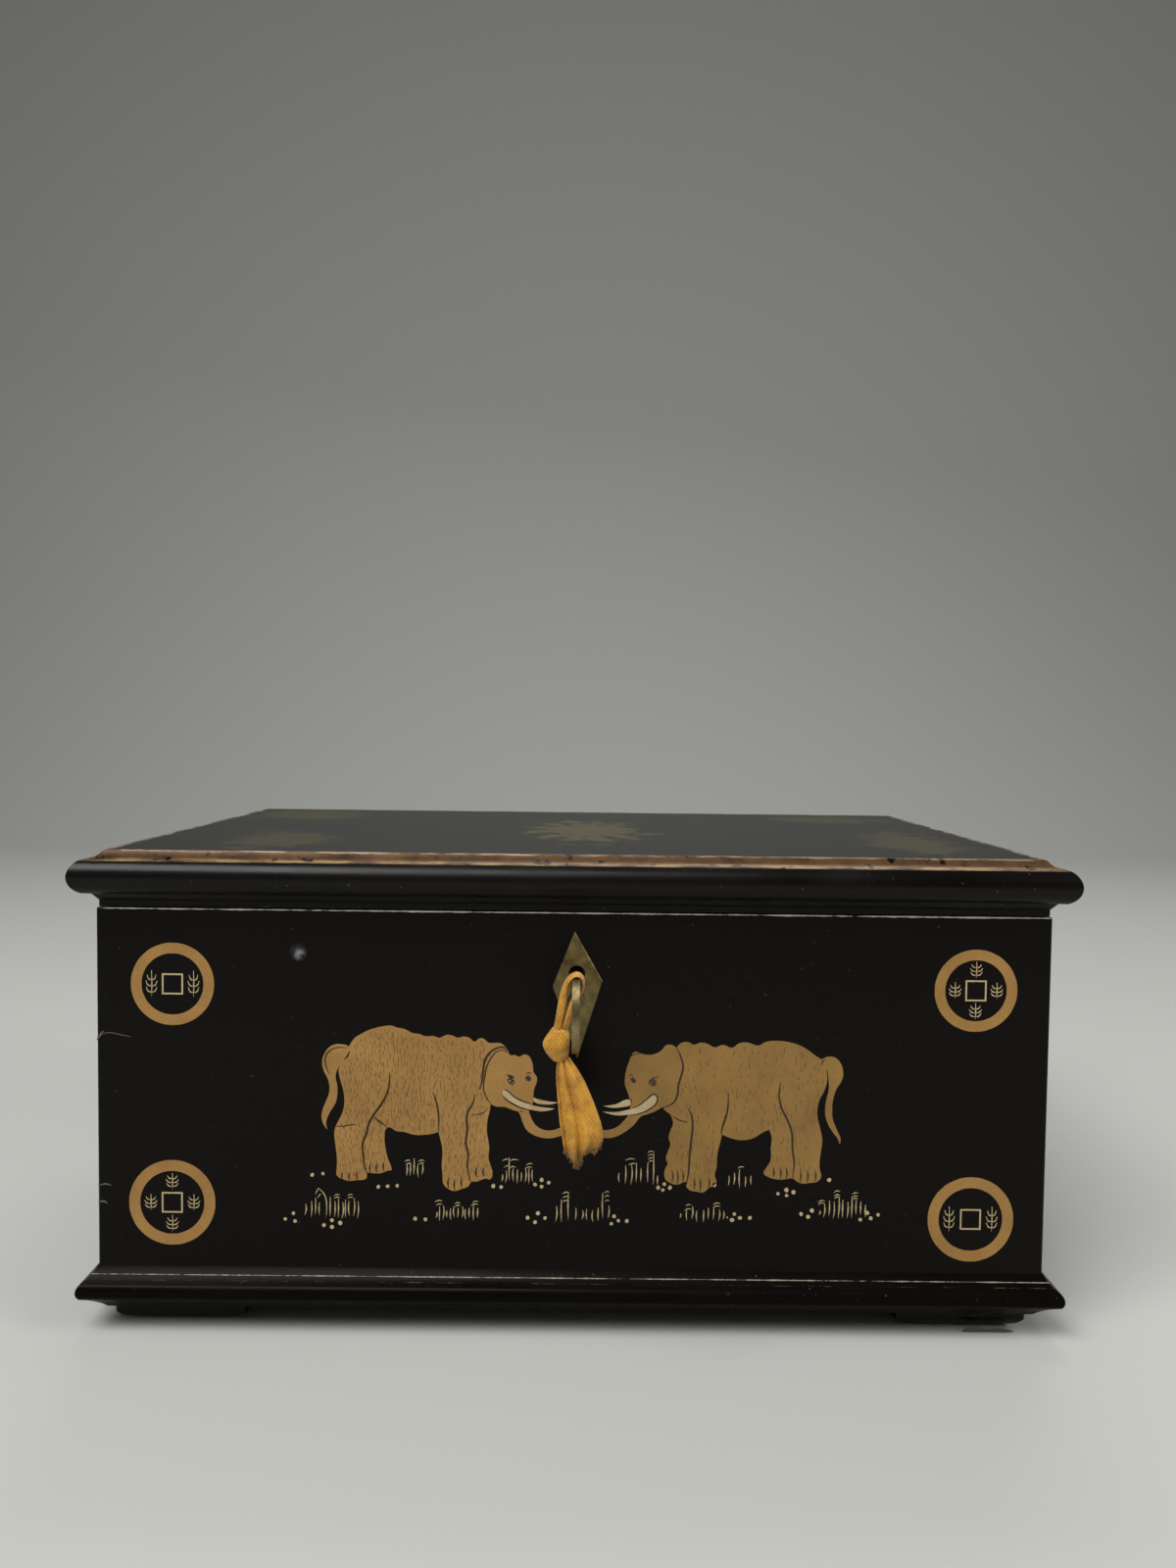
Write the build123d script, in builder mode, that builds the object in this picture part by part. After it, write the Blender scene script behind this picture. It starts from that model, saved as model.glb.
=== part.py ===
from build123d import *
import math
import os

# A lacquered wooden box with a hinged lid, a box lock, its key and a silk ribbon on the key.
# Millimetres. +Z is up, +X is to the viewer's right, the lock is in the front board, at -Y.
# The origin is on the surface that the feet stand on, midway between the boards' outer faces.

os.makedirs("parts", exist_ok=True)

# ---- the case ----
CASE_W = 340.0  # over the end boards
CASE_D = 222.0  # over the front and back boards
BOARD_H = 140.5  # height of the four boards
BOARD_T = 10.0
CORNER_R = 1.2  # rounding of the case's upright edges
RIM_R = 0.8  # rounding of the case's top edge
BOTTOM_T = 6.5  # it ends below the lowest tails
BOTTOM_HOUSING = 5.0  # how far the bottom reaches into the boards
TAIL_COUNT = 4  # dovetails at each corner
TAIL_SHARE = 0.62  # wide end of a tail, of the pitch
TAIL_SLOPE = 1 / 6

# ---- the plinth moulding round the foot of the case, mitred at the corners ----
PLINTH_LEDGE = 5.0  # thickness under the boards
PLINTH_INSET = 16.0  # how far it reaches in under the case
FLARE_H = 5.0
FLARE_OUT = 4.8
BEAD_H = 5.4
BEAD_OUT = 6.0
COVE_H = 5.7
COVE_TOP_OUT = 5.0
COVE_FOOT_IN = 2.4

# ---- the bracket feet ----
FOOT_H = 7.5
FOOT_SET_IN = 3.5  # outer face of a foot, in from the case's face
FOOT_LEG = 48.0  # length of each leg along the case
FOOT_T = 20.0
FOOT_CORNER_R = 4.0
FOOT_HEEL_W = 11.5  # the outer lower edge is rounded under, this wide
FOOT_HEEL_BOW = (2.6, 2.6)  # a point of that rounding, from its corner
FOOT_TOE = 20.0  # length of the rising toe
FOOT_TOE_RISE = 3.4

# ---- the lid ----
LID_GAP = 0.3
LIP_H = 2.2
LIP_IN = 0.9
STEP_H = 2.8
STEP_OUT = 1.4
TORUS_H = 11.7
TORUS_FOOT_OUT = 3.6
TORUS_OUT = 7.4
TORUS_HEAD_OUT = 4.2
BAND_H = 3.2
BAND_SAG = 0.45  # hollow of the gilt band between the torus and the top
BAND_FOOT_OUT = 2.6
BAND_TOP_IN = 2.0
PANEL_T = 9.0
PANEL_SEAT = 6.0  # ledge that carries the top panel
WEDGE = 14.0  # how far the mitre cuts reach past the mouldings

# ---- the butt hinges ----
HINGE_INSET = 62.0  # middle of each hinge, from the end of the case
HINGE_L = 30.0
LEAF_W = 8.0
LEAF_T = 1.1
KNUCKLE_R = 2.2
KNUCKLE_GAP = 0.2
HINGE_PIN_R = 1.1
PIN_CLEAR = 0.05
PIN_HEAD_R = 1.9
PIN_HEAD_L = 0.7
SCOOP_CLEAR = 0.25  # round the barrel, in the wood and in the other leaf
HINGE_SCREWS = 2
HINGE_SCREW_EDGE = 5.0  # from a leaf's end to its nearest screw

# ---- the lock, let into the front board from inside ----
LOCK_X = 0.7  # the keyhole stands a little right of the middle
KEYHOLE_DROP = 21.9  # keyhole's centre below the case's top edge
LOCK_PLATE_W = 68.0
LOCK_PLATE_H = 35.0
LOCK_PLATE_T = 1.4
LOCK_EAR = 6.0  # of the plate, past the cover at each side
LOCK_COVER_H = 33.0
LOCK_DEPTH = 6.0  # of the cover, behind the plate
LOCK_SHEET = 0.8
LOCK_CLEAR = 0.2  # between the lock and its mortise
BOLT_T = 2.6
BOLT_THROW = 6.0
BOLT_END_GAP = 1.2  # from the bolt's left end to the cover, with the bolt drawn back
BOLT_BAR_Z = 3.4  # bar's lower edge above the keyhole's centre
BOLT_BAR_H = 6.5
BOLT_BAR_RIGHT = 8.0  # bar's right end from the keyhole, with the bolt drawn back
TALON_CLEAR = 0.6
FINGER_H = 3.4
FINGER_L = 5.7
FINGER_GAP = 0.5  # from a finger's end to its lug, with the bolt drawn back
RISER_W = 3.0
STUD_R = 1.15
STUD_CLEAR = 0.1
STUD_WALL = 1.75  # of the bar, past the slot for the stud
LUG_T = 2.4
LUG_W = 4.4
LUG_DROP = 11.0  # of a lug's end, below the link plate
LUG_EYE_H = 4.6
LUG_EYE_CLEAR = 0.2
LUG_END_H = 1.1
LUG_XS = (-10.6, 11.4)  # middles of the two lugs, from the keyhole
LUG_SLOT_CLEAR = 0.5
LINK_W = 44.0
LINK_D = 7.0
LINK_T = 1.2
SPRING_T = 0.5
SPRING_W = 2.0
SPRING_FOOT_Z = -5.0  # where it is held, from the keyhole's centre
SPRING_TIP_X = -16.0
SPRING_RISE = 1.2

# ---- the escutcheon, a kite of thin brass ----
ESC_T = 0.7
ESC_TOP = (-0.9, 15.1)  # its corners, from the keyhole's centre
ESC_RIGHT = (9.2, -2.5)
ESC_FOOT = (0.5, -30.5)
ESC_LEFT = (-8.5, -4.5)
KEYHOLE_R = 3.0
KEYHOLE_SLOT_W = 2.6
KEYHOLE_SLOT_L = 8.6
WOOD_KEYHOLE_EXTRA = 0.4

# ---- the key: it droops in its keyhole, as an old loose key does ----
KEY_DROOP = 8.0  # degrees
KEY_R = 1.9
KEY_SAG = 1.2  # axis below the keyhole's centre, at the escutcheon's face
KEY_TIP = 10.4  # end of the shaft, in from the escutcheon's face
KEY_BOW_AT = 35.0  # middle of the bow, out from the escutcheon's face
BOW_TALL = 26.0
BOW_DEEP = 20.0
BOW_BAR = 3.2
BOW_T = 2.5
COLLAR_R = 2.9
COLLAR_L = 1.6
BIT_T = 2.0
BIT_R = 7.2
BIT_L = 2.2
BIT_AT = 6.7
BIT_WARD = 0.8
TIP_HOLE_R = 2.3

# ---- the ribbon, tied round the upper bar of the bow ----
RIBBON_T = 0.9
RIBBON_W = 5.0
RIBBON_CLEAR = 0.3
KNOT_X = -6.4  # its middle, from the key's axis
KNOT_UP = -10.0
KNOT_W = 8.6
KNOT_H = 14.0
KNOT_CUT = 0.82  # share of the knot's height left between its loop and its tail
KNOT_RINGS = (KNOT_CUT, 0.45, -0.45, -KNOT_CUT)  # heights of its sections, of half its height
KNOT_SIDES = 10
STRAND_W = 4.4  # both strands together, where they enter the knot
TAIL_X = -4.4  # middle of the tail where it leaves the knot, from the key's axis
TAIL_L = 36.0
TAIL_SWAY = 6.3  # of the tail's foot, to the right
TAIL_TOP_W = 4.6
TAIL_FOOT_W = 14.6
TAIL_TOP_T = 2.0
TAIL_FOOT_T = 2.6
TAIL_FOLDS = 3
FOLD_BULGE = 0.3  # of a fold's width

# ---- screws ----
SCREW_HEAD_R = 2.0
SCREW_HEAD_H = 1.0
SCREW_R = 0.9
SCREW_L = 6.5
SCREW_SIDES = 12  # facets round a screw and its hole
SLOT_W = 0.5
SLOT_D = 0.4

# ---- places that follow from these ----
HINGE_X = CASE_W / 2 - HINGE_INSET
LOCK_COVER_W = LOCK_PLATE_W - 2 * LOCK_EAR
BOLT_BAR_X = BOLT_END_GAP + LOCK_SHEET - LOCK_COVER_W / 2
BOLT_BAR_L = BOLT_BAR_RIGHT - BOLT_BAR_X
BOARD_FOOT = FOOT_H + PLINTH_LEDGE
CASE_TOP = BOARD_FOOT + BOARD_H
PLINTH_TOP = FOOT_H + COVE_H + BEAD_H + FLARE_H
FRONT = -CASE_D / 2
BACK = CASE_D / 2
LID_FOOT = CASE_TOP + LID_GAP
LIP_TOP = LID_FOOT + LIP_H
STEP_TOP = LIP_TOP + STEP_H
TORUS_TOP = STEP_TOP + TORUS_H
LID_TOP = TORUS_TOP + BAND_H
PANEL_FOOT = LID_TOP - PANEL_T
HINGE_Z = CASE_TOP + LID_GAP / 2
KEYHOLE_Z = CASE_TOP - KEYHOLE_DROP
PLATE_BACK = FRONT + BOARD_T  # the lock plate lies flush with the board's inner face
PLATE_FRONT = PLATE_BACK - LOCK_PLATE_T
COVER_FRONT = PLATE_FRONT - LOCK_DEPTH
ESC_FACE = FRONT - ESC_T

SIDES = {"front": (0, -1), "back": (0, 1), "left": (-1, 0), "right": (1, 0)}


def half_sizes(side):
    """Distance from the middle of the case to a side's outer face, and half that side's length."""
    if side in ("front", "back"):
        return CASE_D / 2, CASE_W / 2
    return CASE_W / 2, CASE_D / 2


def block(xs, ys, zs, mode=Mode.ADD):
    """A box between three pairs of limits."""
    with Locations([(sum(xs) / 2, sum(ys) / 2, sum(zs) / 2)]):
        Box(xs[1] - xs[0], ys[1] - ys[0], zs[1] - zs[0], mode=mode)


def rod(x0, x1, y, z, radius, mode=Mode.ADD):
    """A cylinder along X."""
    with Locations([((x0 + x1) / 2, y, z)]):
        Cylinder(radius, x1 - x0, rotation=(0, 90, 0), mode=mode)


# ---- joinery shared by the boards ----
def tails(end):
    """The dovetails that an end board carries, at its front and its back edge."""
    pitch = BOARD_H / TAIL_COUNT
    wide = pitch * TAIL_SHARE / 2
    narrow = wide - BOARD_T * TAIL_SLOPE
    inner = -CASE_W / 2 if end == "left" else CASE_W / 2 - BOARD_T
    with BuildPart() as prisms:
        with BuildSketch(Plane.YZ.offset(inner)):
            for number in range(TAIL_COUNT):
                middle = BOARD_FOOT + pitch * (number + 0.5)
                for face in (FRONT, BACK):
                    shoulder = face - math.copysign(BOARD_T, face)
                    with BuildLine():
                        Polyline(
                            (face, middle - wide),
                            (face, middle + wide),
                            (shoulder, middle + narrow),
                            (shoulder, middle - narrow),
                            close=True,
                        )
                    make_face()
        extrude(amount=BOARD_T)
    return prisms.part


def planed_case():
    """The block that the glued-up boards are planed to, hollowed below for the bottom."""
    with BuildPart() as planed:
        with BuildSketch(Plane.XY.offset(BOARD_FOOT)):
            RectangleRounded(CASE_W, CASE_D, CORNER_R)
        extrude(amount=BOARD_H)
        fillet(planed.faces().sort_by(Axis.Z)[-1].edges(), RIM_R)
        housing = BOARD_T - BOTTOM_HOUSING
        with Locations([(0, 0, BOARD_FOOT + BOTTOM_T / 2)]):
            Box(CASE_W - 2 * housing, CASE_D - 2 * housing, BOTTOM_T, mode=Mode.SUBTRACT)
    return planed.part


def keyhole(extra, y0, y1, drop=0.0):
    """The shape of a keyhole, a round eye over a slot, between two depths."""
    with BuildPart() as hole:
        with BuildSketch(Plane.XZ.offset(-y1)):
            with Locations([(LOCK_X, KEYHOLE_Z - drop)]):
                Circle(KEYHOLE_R + extra)
            with Locations([(LOCK_X, KEYHOLE_Z - drop - KEYHOLE_SLOT_L / 2)]):
                Rectangle(KEYHOLE_SLOT_W + 2 * extra, KEYHOLE_SLOT_L + 2 * extra)
        extrude(amount=y1 - y0)
    return hole.part


def facet(*corners):
    """A flat face between corners."""
    return Face(Wire.make_polygon(corners, close=True))


def flat_sided(rings):
    """A solid through rings of as many corners each, with flat facets from ring to ring."""
    faces = [facet(*rings[0]), facet(*rings[-1])]
    for lower, upper in zip(rings, rings[1:]):
        for number, corner in enumerate(lower):
            after = (number + 1) % len(lower)
            faces.append(facet(corner, lower[after], upper[after]))
            faces.append(facet(corner, upper[after], upper[number]))
    return Solid(Shell(faces))


def ring_round(plane, radius, sides):
    """The corners of a regular polygon on a plane."""
    turns = [math.tau * number / sides for number in range(sides)]
    return [
        plane.from_local_coords((radius * math.cos(turn), radius * math.sin(turn), 0))
        for turn in turns
    ]


def screw_bore():
    """The countersunk hole of a screw, from the origin down."""
    steps = ((SCREW_R, SCREW_L), (SCREW_R, SCREW_HEAD_H), (SCREW_HEAD_R, 0))
    rings = [ring_round(Plane.XY.offset(-depth), radius, SCREW_SIDES) for radius, depth in steps]
    with BuildPart() as bore:
        add(flat_sided(rings))
    return bore.part


def wood_screw():
    """A slotted countersunk screw, its flat head upwards at the origin."""
    with BuildPart() as screw:
        add(BORE)
        Box(3 * SCREW_HEAD_R, SLOT_W, 2 * SLOT_D, mode=Mode.SUBTRACT)
    return screw.part


BORE = screw_bore()
SCREW = wood_screw()
PLANED = planed_case()

# ---- where the screws go ----
HINGE_XS = {"left": -HINGE_X, "right": HINGE_X}
leaf_middle = BACK - (KNUCKLE_R + LEAF_W) / 2
leaf_pitch = (HINGE_L - 2 * HINGE_SCREW_EDGE) / (HINGE_SCREWS - 1)
leaf_xs = [leaf_pitch * (number - (HINGE_SCREWS - 1) / 2) for number in range(HINGE_SCREWS)]
hinge_spots = [(x + along, leaf_middle) for x in HINGE_XS.values() for along in leaf_xs]
case_hinge_screws = [Location((x, y, CASE_TOP)) for x, y in hinge_spots]
lid_hinge_screws = [Location((x, y, LID_FOOT), (180, 0, 0)) for x, y in hinge_spots]
screw_edge = SCREW_HEAD_R + 1.0  # from a plate's edge to the middle of a screw
lock_plate_foot = CASE_TOP - LOCK_PLATE_H
lock_screws = [
    Location((LOCK_X + side * (LOCK_PLATE_W / 2 - screw_edge), PLATE_BACK, z), (-90, 0, 0))
    for side in (-1, 1)
    for z in (lock_plate_foot + screw_edge, CASE_TOP - 2 * screw_edge)
]
# link_y is the middle of the lock's hollow, where the bolt and the lugs run.
link_y = PLATE_FRONT - LOCK_DEPTH / 2 + LOCK_SHEET / 2  # middle of the lock's hollow
link_screws = [
    Location((LOCK_X + side * (LINK_W / 2 - screw_edge), link_y, LID_FOOT), (180, 0, 0))
    for side in (-1, 1)
]


def hinge_seat(x, z0, z1):
    """Cuts a leaf's housing and the scoop for the barrel, in the wood at one hinge."""
    half = HINGE_L / 2
    block((x - half, x + half), (BACK - LEAF_W, BACK + KNUCKLE_R), (z0, z1), Mode.SUBTRACT)
    reach = half + PIN_HEAD_L + SCOOP_CLEAR
    rod(x - reach, x + reach, BACK, HINGE_Z, KNUCKLE_R + SCOOP_CLEAR, Mode.SUBTRACT)


# ---- the key's own axes: z runs out along the shaft, y is up across it ----
droop = math.radians(KEY_DROOP)
KEY_SEAT = (LOCK_X, ESC_FACE, KEYHOLE_Z - KEY_SAG)
KEY_PLANE = Plane(origin=KEY_SEAT, x_dir=(1, 0, 0), z_dir=(0, -math.cos(droop), -math.sin(droop)))
plate_depth = PLATE_BACK - LOCK_PLATE_T / 2 - ESC_FACE
TIP_HOLE_Z = KEYHOLE_Z - KEY_SAG + plate_depth * math.tan(droop)

# ---- case: front board, with the lock's mortise behind and the keyhole through it ----
with BuildPart() as front_board:
    block((-CASE_W / 2, CASE_W / 2), (FRONT, FRONT + BOARD_T), (BOARD_FOOT, CASE_TOP))
    add(tails("left"), mode=Mode.SUBTRACT)
    add(tails("right"), mode=Mode.SUBTRACT)
    add(PLANED, mode=Mode.INTERSECT)
    half_cover = LOCK_COVER_W / 2 + LOCK_CLEAR
    block(
        (LOCK_X - half_cover, LOCK_X + half_cover),
        (COVER_FRONT - LOCK_CLEAR, PLATE_BACK),
        (CASE_TOP - LOCK_COVER_H - LOCK_CLEAR, CASE_TOP),
        Mode.SUBTRACT,
    )
    block(
        (LOCK_X - LOCK_PLATE_W / 2, LOCK_X + LOCK_PLATE_W / 2),
        (PLATE_FRONT, PLATE_BACK),
        (lock_plate_foot, CASE_TOP),
        Mode.SUBTRACT,
    )
    add(keyhole(WOOD_KEYHOLE_EXTRA, FRONT, PLATE_BACK), mode=Mode.SUBTRACT)
    with Locations(*lock_screws):
        add(BORE, mode=Mode.SUBTRACT)
front_board.part.label = "case_front_board"
export_step(front_board.part, "parts/case_front_board.step")

# ---- case: back board, with both hinge seats in its top edge ----
with BuildPart() as back_board:
    block((-CASE_W / 2, CASE_W / 2), (BACK - BOARD_T, BACK), (BOARD_FOOT, CASE_TOP))
    add(tails("left"), mode=Mode.SUBTRACT)
    add(tails("right"), mode=Mode.SUBTRACT)
    add(PLANED, mode=Mode.INTERSECT)
    for x in HINGE_XS.values():
        hinge_seat(x, CASE_TOP - LEAF_T, CASE_TOP)
    with Locations(*case_hinge_screws):
        add(BORE, mode=Mode.SUBTRACT)
back_board.part.label = "case_back_board"
export_step(back_board.part, "parts/case_back_board.step")

# ---- case: end boards, each with its row of tails front and back ----
for end in ("left", "right"):
    outer = -CASE_W / 2 if end == "left" else CASE_W / 2
    inner = outer - math.copysign(BOARD_T, outer)
    with BuildPart() as end_board:
        block(
            (min(outer, inner), max(outer, inner)),
            (FRONT + BOARD_T, BACK - BOARD_T),
            (BOARD_FOOT, CASE_TOP),
        )
        add(tails(end))
        add(PLANED, mode=Mode.INTERSECT)
    end_board.part.label = f"case_{end}_board"
    export_step(end_board.part, f"parts/case_{end}_board.step")

# ---- case: bottom, housed in the boards ----
with BuildPart() as bottom_board:
    housing = BOARD_T - BOTTOM_HOUSING
    block(
        (housing - CASE_W / 2, CASE_W / 2 - housing),
        (FRONT + housing, BACK - housing),
        (BOARD_FOOT, BOARD_FOOT + BOTTOM_T),
    )
bottom_board.part.label = "case_bottom_board"
export_step(bottom_board.part, "parts/case_bottom_board.step")


# ---- mouldings: a profile, drawn outwards from the case's face, run along a side and mitred ----
def plinth_profile():
    """Flare, bead and cove, with a ledge that the boards stand on."""
    cove_top = FOOT_H + COVE_H
    bead_top = cove_top + BEAD_H
    flare_mid = ((FLARE_OUT - 0.6) / 2, bead_top + (FLARE_H - 0.7) / 2)
    cove_mid = (COVE_TOP_OUT / 2 - 0.3, FOOT_H + 0.72 * COVE_H)
    with BuildSketch() as profile:
        with BuildLine():
            ThreePointArc((0, PLINTH_TOP), flare_mid, (FLARE_OUT, bead_top))
            ThreePointArc(
                (FLARE_OUT, bead_top), (BEAD_OUT, cove_top + BEAD_H / 2), (COVE_TOP_OUT, cove_top)
            )
            ThreePointArc((COVE_TOP_OUT, cove_top), cove_mid, (-COVE_FOOT_IN, FOOT_H))
            Polyline(
                (-COVE_FOOT_IN, FOOT_H),
                (-PLINTH_INSET, FOOT_H),
                (-PLINTH_INSET, BOARD_FOOT),
                (0, BOARD_FOOT),
                (0, PLINTH_TOP),
            )
        make_face()
    return profile.sketch


def lid_profile():
    """Lip, step, torus and gilt band, with a ledge behind that carries the top panel."""
    torus_mid = (TORUS_OUT, (STEP_TOP + TORUS_TOP) / 2)
    band_slope = (BAND_FOOT_OUT - BAND_TOP_IN) / 2
    band_mid = (band_slope - BAND_SAG, (TORUS_TOP + LID_TOP) / 2 - BAND_SAG)
    with BuildSketch() as profile:
        with BuildLine():
            Polyline(
                (-BOARD_T, LID_FOOT),
                (-LIP_IN, LID_FOOT),
                (-LIP_IN, LIP_TOP),
                (STEP_OUT, STEP_TOP),
                (TORUS_FOOT_OUT, STEP_TOP),
            )
            ThreePointArc((TORUS_FOOT_OUT, STEP_TOP), torus_mid, (TORUS_HEAD_OUT, TORUS_TOP))
            Line((TORUS_HEAD_OUT, TORUS_TOP), (BAND_FOOT_OUT, TORUS_TOP))
            ThreePointArc((BAND_FOOT_OUT, TORUS_TOP), band_mid, (-BAND_TOP_IN, LID_TOP))
            Polyline(
                (-BAND_TOP_IN, LID_TOP),
                (PANEL_SEAT - BOARD_T, LID_TOP),
                (PANEL_SEAT - BOARD_T, PANEL_FOOT),
                (-BOARD_T, PANEL_FOOT),
                (-BOARD_T, LID_FOOT),
            )
        make_face()
    return profile.sketch


def mitred(profile, side):
    """One side's length of a moulding, cut at 45 degrees at both ends."""
    out = Vector(*SIDES[side], 0)
    along = Vector(-out.Y, out.X, 0)
    reach, half = half_sizes(side)
    section = Plane(origin=out * reach, x_dir=out, z_dir=out.cross(Vector(0, 0, 1)))
    corners = [
        out * (reach + WEDGE) + along * (half + WEDGE),
        out * (reach + WEDGE) - along * (half + WEDGE),
        out * (reach - 2 * WEDGE) - along * (half - 2 * WEDGE),
        out * (reach - 2 * WEDGE) + along * (half - 2 * WEDGE),
    ]
    with BuildPart() as length:
        extrude(section * profile, amount=half + WEDGE, both=True)
        with BuildSketch(Plane.XY):
            Polygon(*[(corner.X, corner.Y) for corner in corners], align=None)
        extrude(amount=LID_TOP + WEDGE, mode=Mode.INTERSECT)
    return length.part


for side in SIDES:
    with BuildPart() as plinth:
        add(mitred(plinth_profile(), side))
    plinth.part.label = f"plinth_{side}"
    export_step(plinth.part, f"parts/plinth_{side}.step")

# ---- bracket feet: two legs from a corner, heel rounded under, toes rising to the plinth ----
def foot_outline(plane, outer):
    """A foot seen from one side: rounded heel, flat sole and gently rising toe."""
    toe = outer - FOOT_LEG
    sole = toe + FOOT_TOE
    with BuildSketch(plane) as outline:
        with BuildLine():
            ThreePointArc(
                (outer, FOOT_H),
                (outer - FOOT_HEEL_BOW[0], FOOT_HEEL_BOW[1]),
                (outer - FOOT_HEEL_W, 0),
            )
            Line((outer - FOOT_HEEL_W, 0), (sole, 0))
            ThreePointArc(
                (sole, 0), (toe + FOOT_TOE / 2, FOOT_TOE_RISE / 3), (toe, FOOT_TOE_RISE)
            )
            Polyline((toe, FOOT_TOE_RISE), (toe, FOOT_H), (outer, FOOT_H))
        make_face()
    return outline.sketch


for name, sx, sy in (
    ("front_left", -1, -1),
    ("front_right", 1, -1),
    ("back_left", -1, 1),
    ("back_right", 1, 1),
):
    corner_x = CASE_W / 2 - FOOT_SET_IN
    corner_y = CASE_D / 2 - FOOT_SET_IN
    with BuildPart() as foot:
        with BuildSketch(Plane.XY):
            with BuildLine():
                Polyline(
                    (corner_x, corner_y),
                    (corner_x - FOOT_LEG, corner_y),
                    (corner_x - FOOT_LEG, corner_y - FOOT_T),
                    (corner_x - FOOT_T, corner_y - FOOT_T),
                    (corner_x - FOOT_T, corner_y - FOOT_LEG),
                    (corner_x, corner_y - FOOT_LEG),
                    close=True,
                )
            make_face()
        extrude(amount=FOOT_H)
        uprights = foot.edges().filter_by(Axis.Z)
        fillet(uprights.sort_by(lambda edge: edge.center().X + edge.center().Y)[-1], FOOT_CORNER_R)
        extrude(foot_outline(Plane.XZ, corner_x), amount=-CASE_D, mode=Mode.INTERSECT)
        extrude(foot_outline(Plane.YZ, corner_y), amount=CASE_W, mode=Mode.INTERSECT)
        if sx < 0:
            mirror(about=Plane.YZ, mode=Mode.REPLACE)
        if sy < 0:
            mirror(about=Plane.XZ, mode=Mode.REPLACE)
    foot.part.label = f"foot_{name}"
    export_step(foot.part, f"parts/foot_{name}.step")

# ---- case: escutcheon, a kite of thin brass with the keyhole through it ----
with BuildPart() as escutcheon:
    with BuildSketch(Plane.XZ.offset(-FRONT)):
        with Locations([(LOCK_X, KEYHOLE_Z)]):
            Polygon(ESC_TOP, ESC_RIGHT, ESC_FOOT, ESC_LEFT, align=None)
    extrude(amount=ESC_T)
    chamfer(escutcheon.faces().sort_by(Axis.Y)[0].edges(), ESC_T / 3)
    add(keyhole(0.0, ESC_FACE, FRONT), mode=Mode.SUBTRACT)
escutcheon.part.label = "escutcheon"
export_step(escutcheon.part, "parts/escutcheon.step")


# ---- lock: plate with a selvedge along its top, slots for the lugs and a stud for the bolt ----
# The bolt's outline is measured from the keyhole's centre with the bolt drawn back.
lug_foot = LID_FOOT - LUG_DROP
lug_eye = lug_foot + LUG_END_H
finger_z = lug_eye + (LUG_EYE_H - FINGER_H) / 2 - KEYHOLE_Z
slot_r = STUD_R + STUD_CLEAR
stud_x = BOLT_BAR_X + STUD_WALL + slot_r + BOLT_THROW
stud_z = BOLT_BAR_Z + BOLT_BAR_H / 2
talon_half = math.sqrt(BIT_R**2 - BOLT_BAR_Z**2) + BIT_T / 2 + TALON_CLEAR
talon_turn = math.acos(BOLT_BAR_Z / BIT_R) / math.tau  # part of a turn with the bit in the talon
TALON_LEFT = -talon_half - BOLT_THROW * (0.5 - talon_turn)
TALON_RIGHT = talon_half - BOLT_THROW * (0.5 + talon_turn)
TALON_H = BIT_R + TALON_CLEAR - BOLT_BAR_Z
plate_xs = (LOCK_X - LOCK_PLATE_W / 2, LOCK_X + LOCK_PLATE_W / 2)
cover_xs = (LOCK_X - LOCK_COVER_W / 2, LOCK_X + LOCK_COVER_W / 2)
cover_foot = CASE_TOP - LOCK_COVER_H
with BuildPart() as lock_plate:
    block(plate_xs, (PLATE_FRONT, PLATE_BACK), (lock_plate_foot, CASE_TOP))
    block(cover_xs, (COVER_FRONT, PLATE_FRONT), (CASE_TOP - LOCK_PLATE_T, CASE_TOP))
    for lug_x in LUG_XS:
        slot_x = LUG_T / 2 + LUG_SLOT_CLEAR
        slot_y = LUG_W / 2 + LUG_SLOT_CLEAR
        block(
            (LOCK_X + lug_x - slot_x, LOCK_X + lug_x + slot_x),
            (link_y - slot_y, link_y + slot_y),
            (CASE_TOP - LOCK_PLATE_T, CASE_TOP),
            Mode.SUBTRACT,
        )
    with Locations([(LOCK_X + stud_x, PLATE_FRONT - LOCK_DEPTH / 2, KEYHOLE_Z + stud_z)]):
        Cylinder(STUD_R, LOCK_DEPTH, rotation=(90, 0, 0))
    with Locations([(LOCK_X, PLATE_BACK - LOCK_PLATE_T / 2, TIP_HOLE_Z)]):
        Cylinder(TIP_HOLE_R, 3 * LOCK_PLATE_T, rotation=(90, 0, 0), mode=Mode.SUBTRACT)
    with Locations(*lock_screws):
        add(BORE, mode=Mode.SUBTRACT)
lock_plate.part.label = "lock_plate"
export_step(lock_plate.part, "parts/lock_plate.step")

# ---- lock: cover, a tray folded from sheet that closes the works in ----
with BuildPart() as lock_cover:
    block(cover_xs, (COVER_FRONT, PLATE_FRONT), (cover_foot, CASE_TOP - LOCK_PLATE_T))
    block(
        (cover_xs[0] + LOCK_SHEET, cover_xs[1] - LOCK_SHEET),
        (COVER_FRONT + LOCK_SHEET, PLATE_FRONT),
        (cover_foot + LOCK_SHEET, CASE_TOP),
        Mode.SUBTRACT,
    )
    with Locations([(LOCK_X + stud_x, PLATE_FRONT - LOCK_DEPTH / 2, KEYHOLE_Z + stud_z)]):
        Cylinder(STUD_R, 2 * LOCK_DEPTH, rotation=(90, 0, 0), mode=Mode.SUBTRACT)
    add(keyhole(WOOD_KEYHOLE_EXTRA, COVER_FRONT - 1, COVER_FRONT + LOCK_SHEET), mode=Mode.SUBTRACT)
lock_cover.part.label = "lock_cover"
export_step(lock_cover.part, "parts/lock_cover.step")

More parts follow.
